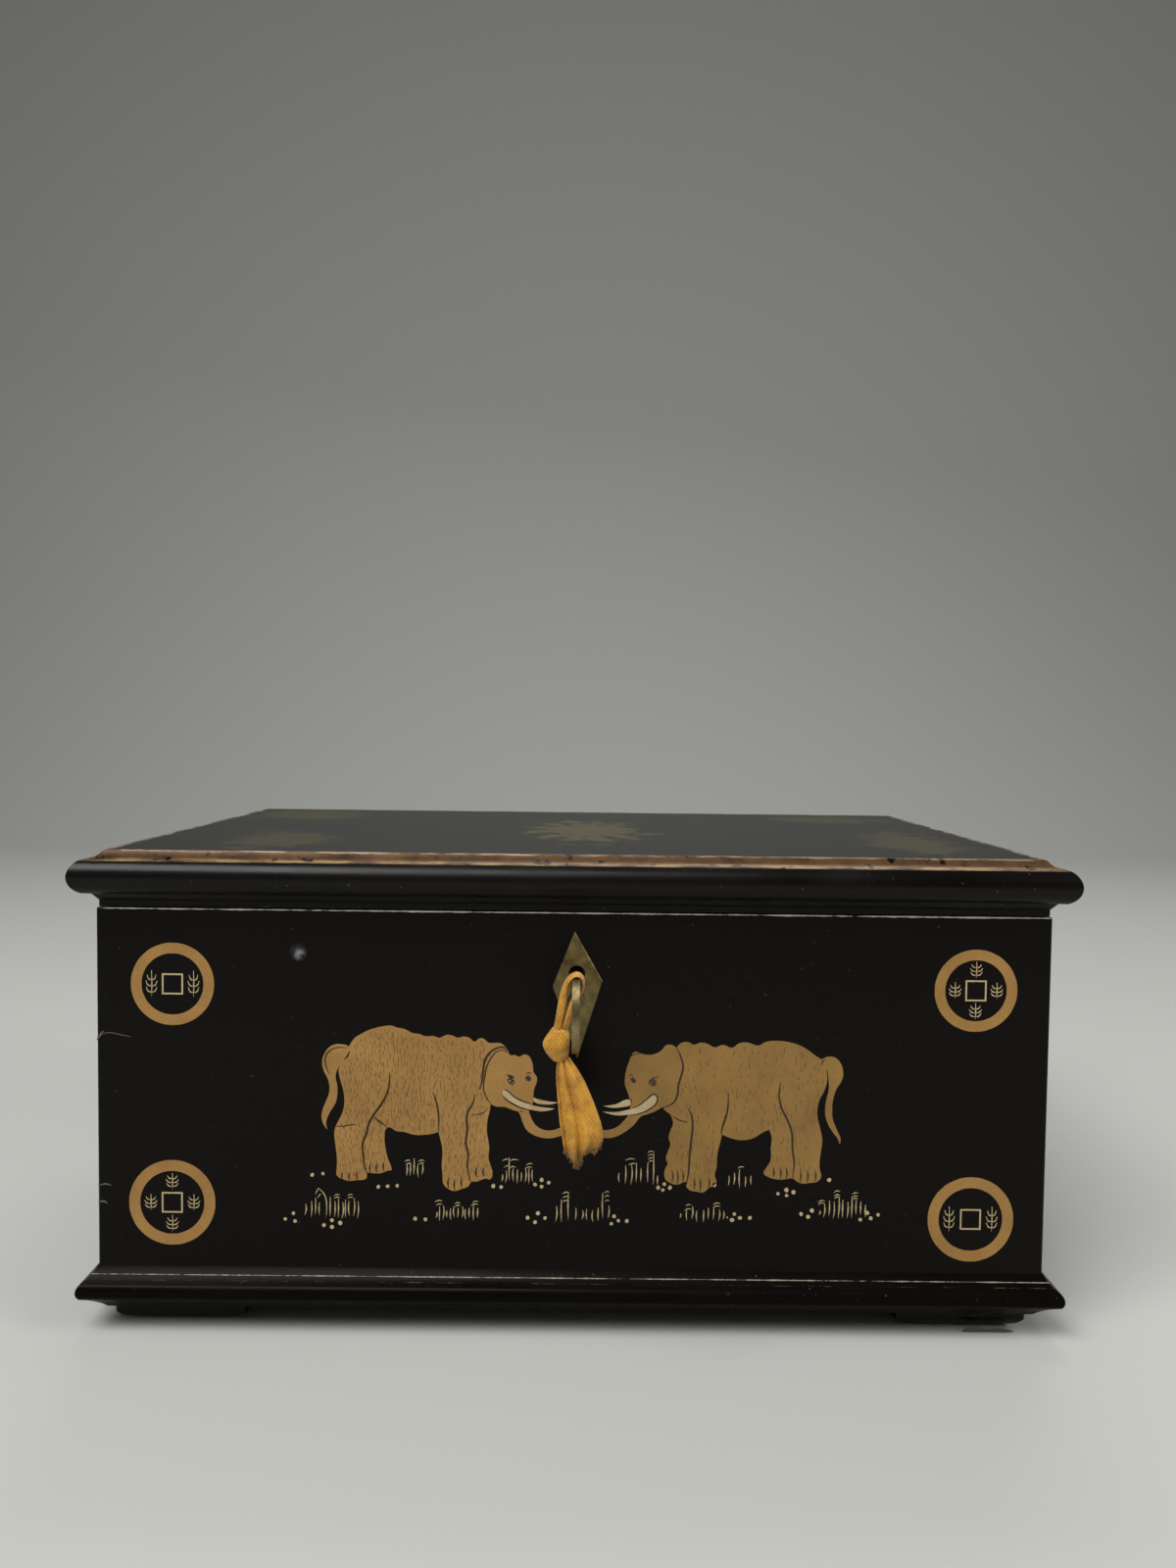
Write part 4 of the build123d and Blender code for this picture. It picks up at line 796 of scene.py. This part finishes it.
# A tuft is its foot, its blades as (across, top), and its tips as (from, to, height).
TUFTS = {
    "left": [
        (
            255,
            [(960, 165), (985, 150), (1012, 118), (1045, 158), (1070, 160)],
            [(943, 987, 135), (950, 990, 158), (1040, 1090, 135), (1045, 1086, 155)],
        ),
        (
            552,
            [(215, 450), (262, 430), (292, 405), (322, 440), (400, 400), (432, 430), (460, 410)]
            + [(485, 440), (512, 420), (540, 430), (570, 410), (598, 430)],
            [(425, 470, 385), (425, 472, 405), (525, 566, 385), (525, 568, 405)],
        ),
        (
            570,
            [(1170, 510), (1197, 470), (1222, 465), (1250, 500), (1280, 485), (1305, 470)]
            + [(1330, 480), (1362, 470), (1388, 490), (1415, 480), (1445, 465), (1475, 480)],
            [(1160, 1216, 430), (1170, 1216, 455), (1305, 1350, 445), (1308, 1348, 465)]
            + [(1435, 1480, 436), (1422, 1480, 457)],
        ),
    ],
    "middle": [
        (
            302,
            [(120, 235), (145, 205), (175, 112), (205, 190), (232, 200), (258, 220), (290, 195)]
            + [(318, 190), (345, 200)],
            [(120, 175, 128), (170, 240, 130), (135, 178, 176), (172, 222, 182)]
            + [(295, 345, 160), (285, 340, 185)],
        ),
        (
            580,
            [(513, 470), (555, 420), (605, 372), (657, 480), (705, 500), (742, 490), (785, 500)]
            + [(823, 480), (858, 372), (895, 465)],
            [(558, 612, 370), (560, 612, 400), (560, 608, 430), (865, 902, 365)]
            + [(866, 904, 395), (868, 904, 428)],
        ),
        (
            312,
            [(978, 225), (1020, 170), (1060, 165), (1100, 150), (1133, 190), (1185, 150)]
            + [(1225, 80), (1255, 245)],
            [(1018, 1090, 125), (1040, 1100, 160), (1180, 1226, 70), (1182, 1226, 94)]
            + [(1184, 1224, 118), (1186, 1224, 140)],
        ),
    ],
    "right": [
        (
            315,
            [(435, 235), (473, 215), (515, 190), (553, 240), (597, 235)],
            [(498, 542, 175)],
        ),
        (
            553,
            [(100, 500), (147, 470), (180, 450), (218, 480), (262, 475), (295, 460)]
            + [(330, 450), (368, 470), (400, 480), (433, 520)],
            [(133, 176, 440), (125, 176, 470), (325, 380, 430), (328, 378, 450)],
        ),
        (
            530,
            [(1070, 480), (1103, 430), (1140, 410), (1170, 415), (1205, 380), (1235, 405)]
            + [(1268, 420), (1300, 380), (1330, 400), (1362, 415), (1397, 440)],
            [(1060, 1110, 413), (1062, 1108, 430), (1170, 1215, 345), (1172, 1215, 372)]
            + [(1174, 1213, 388), (1300, 1342, 358), (1302, 1342, 380), (1304, 1340, 396)],
        ),
    ],
}
PEBBLES = {
    "left": [(270, 238), (348, 228), (750, 325), (818, 322), (888, 318), (130, 518), (70, 560)]
    + [(142, 575), (353, 605), (410, 570), (470, 590), (410, 620), (1018, 560), (1092, 565)],
    "middle": [(55, 320), (113, 328), (408, 275), (360, 310), (408, 325), (460, 295), (380, 520)]
    + [(305, 552), (432, 555), (360, 585), (938, 543), (968, 575), (1030, 577), (917, 597)]
    + [(1303, 308), (1258, 333), (1345, 333), (1293, 350)],
    "right": [(335, 298), (1137, 265), (780, 360), (838, 335), (840, 373), (888, 350), (475, 503)]
    + [(515, 530), (585, 530), (460, 545), (943, 503), (1018, 480), (992, 522), (1407, 497)]
    + [(1357, 543), (1430, 533), (1482, 510)],
}
brush = random.Random(11)
blades = []
touches = []
for side, sheet in GRASS_SHEETS.items():
    for foot, stems, tips in TUFTS[side]:
        for x, top in stems:
            end = foot + brush.uniform(-22, 8)
            bend = brush.uniform(-5, 5)
            stem = [(x + bend, top), (x + bend * 2, (top + end) / 2), (x - 3, end)]
            blades.append((on_front(sheet, stem), brush.uniform(0.5, 0.62)))
        for start, stop, height in tips:
            droop = [(start, height + 9), ((start + stop) / 2, height - 3), (stop, height + 1)]
            blades.append((on_front(sheet, droop), 0.42))
    for x, y in PEBBLES[side]:
        size = brush.uniform(11.5, 15)
        rim = []
        for number in range(7):
            angle = -2 * math.pi * number / 7
            reach = size * brush.uniform(0.88, 1.1)
            rim.append((x + reach * math.cos(angle), y + reach * math.sin(angle)))
        touches.append(on_front(sheet, rim))
curl = [(310, 334), (350, 372), (372, 440), (368, 552)]
blades.append((on_front(GRASS_SHEETS["left"], curl), 0.5))
for barb in ([(290, 385), (302, 358), (312, 338)], [(305, 410), (318, 390), (332, 376)]):
    blades.append((on_front(GRASS_SHEETS["left"], barb), 0.4))
strokes("grass_tufts", blades, 0.0, pale_gold, 0.3)
skin("pebbles", touches, SKIN, pale_gold)

# ---- Four coins in the corners ----
# Each is a gold ring with a thin square at its middle, painted with the same dust. Leaf
# sprigs stand between the two, on all four sides on one diagonal and only left and right on
# the other.


def circle(middle, radius, points=16):
    """A round outline in metres, from a place and a radius in millimetres."""
    x, up = middle
    turns = [2 * math.pi * number / points for number in range(points)]
    return [
        ((x + radius * math.cos(turned)) * MM, (up + radius * math.sin(turned)) * MM)
        for turned in turns
    ]


def square(middle, half):
    """A square outline in metres."""
    x, up = middle
    corners = ((-1, -1), (1, -1), (1, 1), (-1, 1))
    return [((x + half * a) * MM, (up + half * b) * MM) for a, b in corners]


RING_SHARE = 0.745  # hole of the ring, against its outside
SQUARE_HALF = (3.75, 3.2)  # outside and inside
SPRIG_FOOT = 3.9  # from the coin's middle, just off the square
SPRIG_OF_TWO = (1.25, 2.0)  # size across and up where a coin has two sprigs
SPRIG_OF_FOUR = (1.4, 1.25)  # and where it has four

# A stem with three pairs of leaves.
SPRIG = [([(0.0, -2.3), (0.08, 0.0), (0.0, 2.4)], 0.5)]
for leaf_foot, reach in ((-1.5, 1.5), (-0.4, 1.6), (0.7, 1.25)):
    for side in (-1, 1):
        leaf_line = [(0, leaf_foot), (side * reach * 0.6, leaf_foot + 0.1)]
        leaf_line += [(side * reach, leaf_foot + 0.95)]
        SPRIG.append((leaf_line, 0.5))
for corner, x, up, radius, sides in (
    ("top_left", -142.9, 125.8, 14.75, (1, 3)),
    ("top_right", 143.1, 126.4, 14.75, (0, 1, 2, 3)),
    ("foot_left", -143.3, 46.8, 15.4, (0, 1, 2, 3)),
    ("foot_right", 143.3, 43.4, 15.4, (1, 3)),
):
    rings = [circle((x, up), radius), circle((x, up), radius * RING_SHARE)]
    skin(f"coin_{corner}_ring", rings, SKIN, bright_gold)
    border = [square((x, up), half) for half in SQUARE_HALF]
    skin(f"coin_{corner}_square", border, SKIN, pale_gold, "VECTOR")
    out = (radius * RING_SHARE + SPRIG_FOOT) / 2
    wide, tall = SPRIG_OF_TWO if len(sides) == 2 else SPRIG_OF_FOUR
    sprigs = []
    for side in sides:
        angle = math.radians(90 * side)
        at = (x + out * math.sin(angle), up + out * math.cos(angle))
        for points, width in SPRIG:
            placed = [((at[0] + wide * a) * MM, (at[1] + tall * b) * MM) for a, b in points]
            sprigs.append((placed, width))
    strokes(f"coin_{corner}_sprigs", sprigs, 0.0, pale_gold)

# ---- Old damage on the front ----
# Cracks run in from the dovetails at the left corner, and one foot has lost its skin.

# Clay ground under the lacquer: chalky and pale, dirty in grains of 2 mm.
bare_ground, tree, shader, place = material("bare_pale_ground", {"Roughness": 0.8})
dirt = {"Vector": place, "Scale": 500.0, "Detail": 5.0, "Roughness": 0.7}
dirt = node(tree, "TexNoise", dirt)
flaking = node(
    tree, "Mix", {0: dirt, 6: linear("#6A6155"), 7: linear("#2C2520")}, 2, data_type="RGBA"
)
tree.links.new(flaking, shader.inputs["Base Color"])
cracks = [
    ([(-169.9, 106.5), (-166.0, 108.0), (-161.0, 107.2), (-157.6, 106.6)], 0.34),
    ([(-169.8, 105.4), (-168.6, 107.2), (-167.6, 108.6)], 1.1),
    ([(-169.9, 52.6), (-167.2, 53.2), (-165.0, 52.8)], 0.7),
    ([(-169.9, 46.4), (-168.0, 46.9), (-166.4, 46.2)], 0.8),
]
strokes(
    "corner_cracks",
    [([(x * MM, up * MM) for x, up in points], width) for points, width in cracks],
    0.0,
    bare_ground,
)

TOE_FACE = -0.1075
chip = [(142.5, 0.3), (147.0, 0.2), (152.0, 0.3), (158.0, 0.2), (161.5, 0.6), (157.0, 1.7)]
chip += [(151.0, 1.4), (146.5, 2.2), (143.5, 1.4)]
patch = skin("bare_foot_patch", [[(x * MM, up * MM) for x, up in chip]], SKIN, bare_ground)
patch.data.transform(Matrix.Translation((0, TOE_FACE - FRONT_FACE, 0)))

# ---- Silk ribbon on the key ----
# A narrow band of gold silk, doubled over the top of the key's bow, knotted beside it, and
# left hanging in pleats to a frayed end. It is soft, and bent only by its own folds.

KEY_DROOP = math.radians(8)
KEY_SEAT = Vector((0.0007, -0.1117, 0.1299))
BOW_OUT = 35.0  # millimetres along the key's axis

key_axes = Matrix(
    (
        (1, 0, 0, KEY_SEAT.x),
        (0, -math.sin(KEY_DROOP), -math.cos(KEY_DROOP), KEY_SEAT.y),
        (0, math.cos(KEY_DROOP), -math.sin(KEY_DROOP), KEY_SEAT.z),
        (0, 0, 0, 1),
    )
)

# Taffeta: plain-woven silk, with a soft shine and a slight bloom at its folds. Threads lie
# 0.6 mm apart here, twice as far as real ones, so that they still show.
finish = {"Roughness": 0.5, "Sheen Weight": 0.3, "Sheen Roughness": 0.4}
finish["Specular IOR Level"] = 0.4
silk, tree, shader, place = material("gold_silk_taffeta", finish)
threads = 1.0
for turned in (35, -40):
    slanted = {"Vector": place, "Rotation": (0, math.radians(turned), 0)}
    slanted = node(tree, "Mapping", slanted)
    wave = {"Vector": slanted, "Scale": 260.0, "Distortion": 1.2, "Detail": 1.0}
    wave = node(tree, "TexWave", wave, 1, bands_direction="X")
    threads = node(tree, "Math", {0: wave, 1: threads}, operation="MULTIPLY")
fading = {"Vector": place, "Scale": 190.0, "Detail": 4.0, "Roughness": 0.6}
fading = node(tree, "MapRange", {0: node(tree, "TexNoise", fading), 1: 0.38, 2: 0.66})
colour = node(
    tree, "Mix", {0: fading, 6: linear("#CC942C"), 7: linear("#9A661E")}, 2, data_type="RGBA"
)
reddish = node(tree, "TexNoise", {"Vector": place, "Scale": 130.0, "Detail": 3.0})
reddish = node(tree, "MapRange", {0: reddish, 1: 0.56, 2: 0.68, 4: 0.6})
colour = node(tree, "Mix", {0: reddish, 6: colour, 7: linear("#7E4519")}, 2, data_type="RGBA")
raised = node(tree, "Math", {0: threads, 1: 0.3}, operation="MULTIPLY")
colour = node(tree, "Mix", {0: raised, 6: colour, 7: linear("#E0AE4C")}, 2, data_type="RGBA")

# The frayed foot is darker brown towards the bottom, more so to the right.
across, _, up = node(tree, "SeparateXYZ", {0: place}, None).outputs
low = node(tree, "Math", {0: across, 1: 0.35}, operation="MULTIPLY")
low = node(tree, "Math", {0: low, 1: up}, operation="SUBTRACT")
uneven = node(tree, "TexNoise", {"Vector": place, "Scale": 260.0, "Detail": 3.0})
low = node(tree, "Math", {0: uneven, 1: 0.004, 2: low}, operation="MULTIPLY_ADD")
darkened_foot = node(tree, "MapRange", {0: low, 1: -0.0805, 2: -0.0745, 4: 0.75})
colour = node(tree, "Mix", {0: darkened_foot, 6: colour, 7: linear("#5A3A16")}, 2, data_type="RGBA")
tree.links.new(colour, shader.inputs["Base Color"])
weave = node(tree, "Bump", {"Height": threads, "Strength": 0.5, "Distance": 0.0002})
tree.links.new(weave, shader.inputs["Normal"])


def soft_piece(name, rows, closed, axes):
    """A cloth form from rows of points in millimetres, smoothed once."""
    made = bpy.data.meshes.new(name)
    form = bmesh.new()
    grid = [[form.verts.new(axes @ (Vector(point) * MM)) for point in row] for row in rows]
    for upper, lower in zip(grid, grid[1:]):
        wide = len(upper)
        for number in range(wide if closed else wide - 1):
            after = (number + 1) % wide
            form.faces.new((upper[number], upper[after], lower[after], lower[number]))
    if closed:
        form.faces.new(list(reversed(grid[0])))
        form.faces.new(grid[-1])
    bmesh.ops.recalc_face_normals(form, faces=form.faces)
    form.to_mesh(made)
    form.free()
    piece = bpy.data.objects.new(name, made)
    bpy.context.collection.objects.link(piece)
    made.materials.append(silk)
    pick(piece)
    bpy.ops.object.shade_smooth()
    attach(piece, "key")
    return piece


def apply_modifiers(piece, *kinds):
    """Adds modifiers from (kind, settings) pairs, and applies each."""
    pick(piece)
    for kind, settings in kinds:
        added = piece.modifiers.new(kind.lower(), kind)
        for setting, value in settings.items():
            setattr(added, setting, value)
        bpy.ops.object.modifier_apply(modifier=added.name)


# The doubled band, flat across the bow's bar and creased along its middle. Its path runs up
# from the knot, over the bar and back, as (across, up, half thickness) from the key's axis.
BAND_HALF = 2.4
BAND_SECTION = [
    (-0.95, -0.9), (-0.55, -0.35), (-0.95, 0.15), (-0.7, 0.75), (-0.1, 1.0),
    (0.5, 0.8), (0.35, 0.2), (0.6, -0.3), (0.4, -0.85), (-0.3, -1.0),
]  # fmt: skip
BAND_PATH = [
    (-5.9, -6.0, 1.9), (-5.3, -3.4, 2.0), (-4.5, 1.6, 2.05), (-3.9, 6.0, 1.95),
    (-3.2, 9.4, 1.6), (-2.35, 11.8, 1.0), (-1.1, 13.3, 0.5), (0.2, 13.75, 0.4),
    (1.5, 13.2, 0.5), (2.3, 11.8, 0.6), (2.4, 10.0, 0.65), (1.7, 7.9, 0.75),
    (0.0, 6.7, 0.95), (-1.4, 4.4, 1.4), (-2.3, 1.2, 1.7), (-3.2, -2.0, 1.75), (-4.3, -5.6, 1.6),
]  # fmt: skip
rows = []
for number, (x, up, thick) in enumerate(BAND_PATH):
    before = Vector(BAND_PATH[max(number - 1, 0)][:2])
    after = Vector(BAND_PATH[min(number + 1, len(BAND_PATH) - 1)][:2])
    along = (after - before).normalized()
    side = Vector((along.y, -along.x))
    rows.append(
        [
            (x + side.x * a * thick, up + side.y * a * thick, BOW_OUT + b * BAND_HALF)
            for a, b in BAND_SECTION
        ]
    )
band = soft_piece("ribbon_band_loop", rows, True, key_axes)
apply_modifiers(band, ("SUBSURF", {"levels": 1, "render_levels": 1}))
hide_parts("ribbon_loop")

# The knot: two wraps pulled tight, slanting down to the left.
KNOT_AT = (-6.1, -10.0, BOW_OUT)
KNOT_DEEP = 3.1
KNOT_TALL = 7.2  # half of its height, if it were not cut off at its ends
KNOT_SQUARE = 2.6  # 2 is round, and more is squarer
KNOT_ROUND = 32
WRAP = 5.2  # from one wrap to the next
WRAP_SWELL = 0.09  # how far a wrap stands out, against the knot's depth
CREASE = 4.3  # finer creases, in radians to a millimetre
CREASE_SWELL = 0.03
# Its silhouette from the front: (height, left, right), drawn in like a lozenge.
KNOT_ROWS = [
    (5.9, -1.2, 2.4), (4.6, -1.9, 3.7), (2.8, -3.2, 4.2), (0.8, -4.6, 4.2), (-0.6, -4.8, 4.1),
    (-2.2, -4.1, 4.2), (-3.8, -3.1, 3.9), (-5.2, -2.0, 2.9), (-6.3, -0.8, 1.4),
]  # fmt: skip
rows = []
for height, left, right in KNOT_ROWS:
    row = []
    deep = KNOT_DEEP * math.sqrt(max(1 - (height / KNOT_TALL) ** 2, 0.1))
    for number in range(KNOT_ROUND):
        angle = 2 * math.pi * number / KNOT_ROUND
        aside, out = math.cos(angle), math.sin(angle)
        flat = (abs(aside) ** KNOT_SQUARE + abs(out) ** KNOT_SQUARE) ** (-1 / KNOT_SQUARE)
        x = (left + right) / 2 + (right - left) / 2 * flat * aside
        slant = height * 0.92 - x * 0.5
        wrap = 1 + WRAP_SWELL * math.cos(2 * math.pi * slant / WRAP + 0.8)
        wrap += CREASE_SWELL * math.cos(slant * CREASE)
        row.append((KNOT_AT[0] + x, KNOT_AT[1] + height, KNOT_AT[2] + deep * flat * out * wrap))
    rows.append(row)
knot = soft_piece("ribbon_knot_wraps", rows, True, key_axes)
apply_modifiers(knot, ("SUBSURF", {"levels": 1, "render_levels": 1}))
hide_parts("ribbon_knot")

# The hanging end: (height, left edge, right edge) down its length, its pleats across it, and
# how low its foot reaches across it.
TAIL_Y = -144.9
TAIL_ACROSS = 40
TAIL_DOWN = 30
SILK_THICK = 0.00025
TAIL_ROWS = [
    (110.8, -5.0, -1.6), (109.4, -5.2, -0.8), (105.9, -5.5, 1.7), (102.0, -5.4, 4.0),
    (95.7, -4.8, 6.8), (89.0, -4.2, 9.2), (86.2, -3.6, 9.9), (82.0, -3.0, 10.0),
]  # fmt: skip
PLEATS = [
    (0.0, 0.3), (0.08, -0.7), (0.26, 1.0), (0.44, -0.5), (0.6, 0.95), (0.77, 0.0),
    (0.9, 0.4), (1.0, -0.7),
]  # fmt: skip
FOOT = [
    (0.0, 80.5), (0.12, 78.4), (0.28, 76.0), (0.42, 74.6), (0.5, 76.2), (0.57, 79.6),
    (0.66, 80.9), (0.76, 80.1), (0.88, 80.6), (1.0, 82.4),
]  # fmt: skip


def between(table, at, eased=False):
    """A value from a short table of (place, value), straight or eased between its rows."""
    for (start, low), (stop, high) in zip(table, table[1:]):
        if start <= at <= stop:
            share = (at - start) / (stop - start)
            if eased:
                share = (3 - 2 * share) * share * share
            return low + (high - low) * share
    return table[-1][1]


def hanging(width_share, behind, depth, foot_lift, seed):
    """Rows of a pleated end of the ribbon, from the knot down to its ragged foot.

    Its pleats deepen downwards, and below TAIL_ROWS it narrows and drifts to the left.
    """
    draw = random.Random(seed)
    jag = [draw.uniform(-0.2, 0.2) for _ in range(TAIL_ACROSS + 1)]
    top, bottom = TAIL_ROWS[0][0], TAIL_ROWS[-1][0]
    left_edge = [(top - height, left) for height, left, _ in TAIL_ROWS]
    right_edge = [(top - height, right) for height, _, right in TAIL_ROWS]
    long = top - bottom
    rows = []
    for step in range(TAIL_DOWN + 1):
        row = []
        for number in range(TAIL_ACROSS + 1):
            u = number / TAIL_ACROSS
            foot = between(FOOT, u, True) + foot_lift + jag[number]
            up = top + (foot - top) * step / TAIL_DOWN
            down = min(top - up, long)
            left, right = between(left_edge, down), between(right_edge, down)
            middle, half = (left + right) / 2, (right - left) / 2 * width_share
            below = max(bottom - up, 0)
            half -= below * 0.28
            fold = between(PLEATS, u, True) * depth * (0.75 + 0.5 * down / long)
            wobble = 0.25 * math.sin(0.35 * up + 5 * u)
            x = middle + below * -0.12 + (2 * u - 1) * half
            row.append((x, TAIL_Y + behind - fold - wobble - 0.03 * down, up))
        rows.append(row)
    return rows


plumb = Matrix.Identity(4)
front_rows = hanging(1.0, 0.0, 1.05, 0.0, 2)
tail = soft_piece("ribbon_end_front", front_rows, False, plumb)
rear = soft_piece("ribbon_end_rear", hanging(0.9, 1.7, -0.6, 1.8, 4), False, plumb)
for piece in (tail, rear):
    apply_modifiers(piece, ("SOLIDIFY", {"thickness": SILK_THICK, "offset": 0.0}))
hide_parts("ribbon_tail")

# Loose warp threads at the frayed foot.
FRAYED = 120
THREAD_R = 0.00009
draw = random.Random(9)
drawing = bpy.data.curves.new("ribbon_fringe", "CURVE")
drawing.dimensions = "3D"
drawing.bevel_depth = THREAD_R
drawing.bevel_resolution = 0
drawing.use_fill_caps = True
drawing.resolution_u = 2
for number in range(FRAYED):
    x, y, up = front_rows[-1][draw.randrange(1, TAIL_ACROSS)]
    x += draw.uniform(-0.2, 0.2)
    y += draw.uniform(-0.1, 0.5)
    drop = draw.uniform(0.5, 2.0)
    thread = drawing.splines.new("BEZIER")
    thread.bezier_points.add(2)
    stray = draw.uniform(-0.7, 0.7)
    for point, (share, side) in zip(thread.bezier_points, ((-0.4, 0), (0.5, 0.25), (1, 1))):
        point.co = Vector((x + stray * side, y, up - drop * share)) * MM
        point.handle_left_type = point.handle_right_type = "AUTO"
fringe = bpy.data.objects.new("ribbon_fringe", drawing)
bpy.context.collection.objects.link(fringe)
pick(fringe)
bpy.ops.object.convert(target="MESH")
fringe.data.materials.append(silk)
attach(fringe, "key")

# ---- What the kept box measures, and the end ----
low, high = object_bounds()
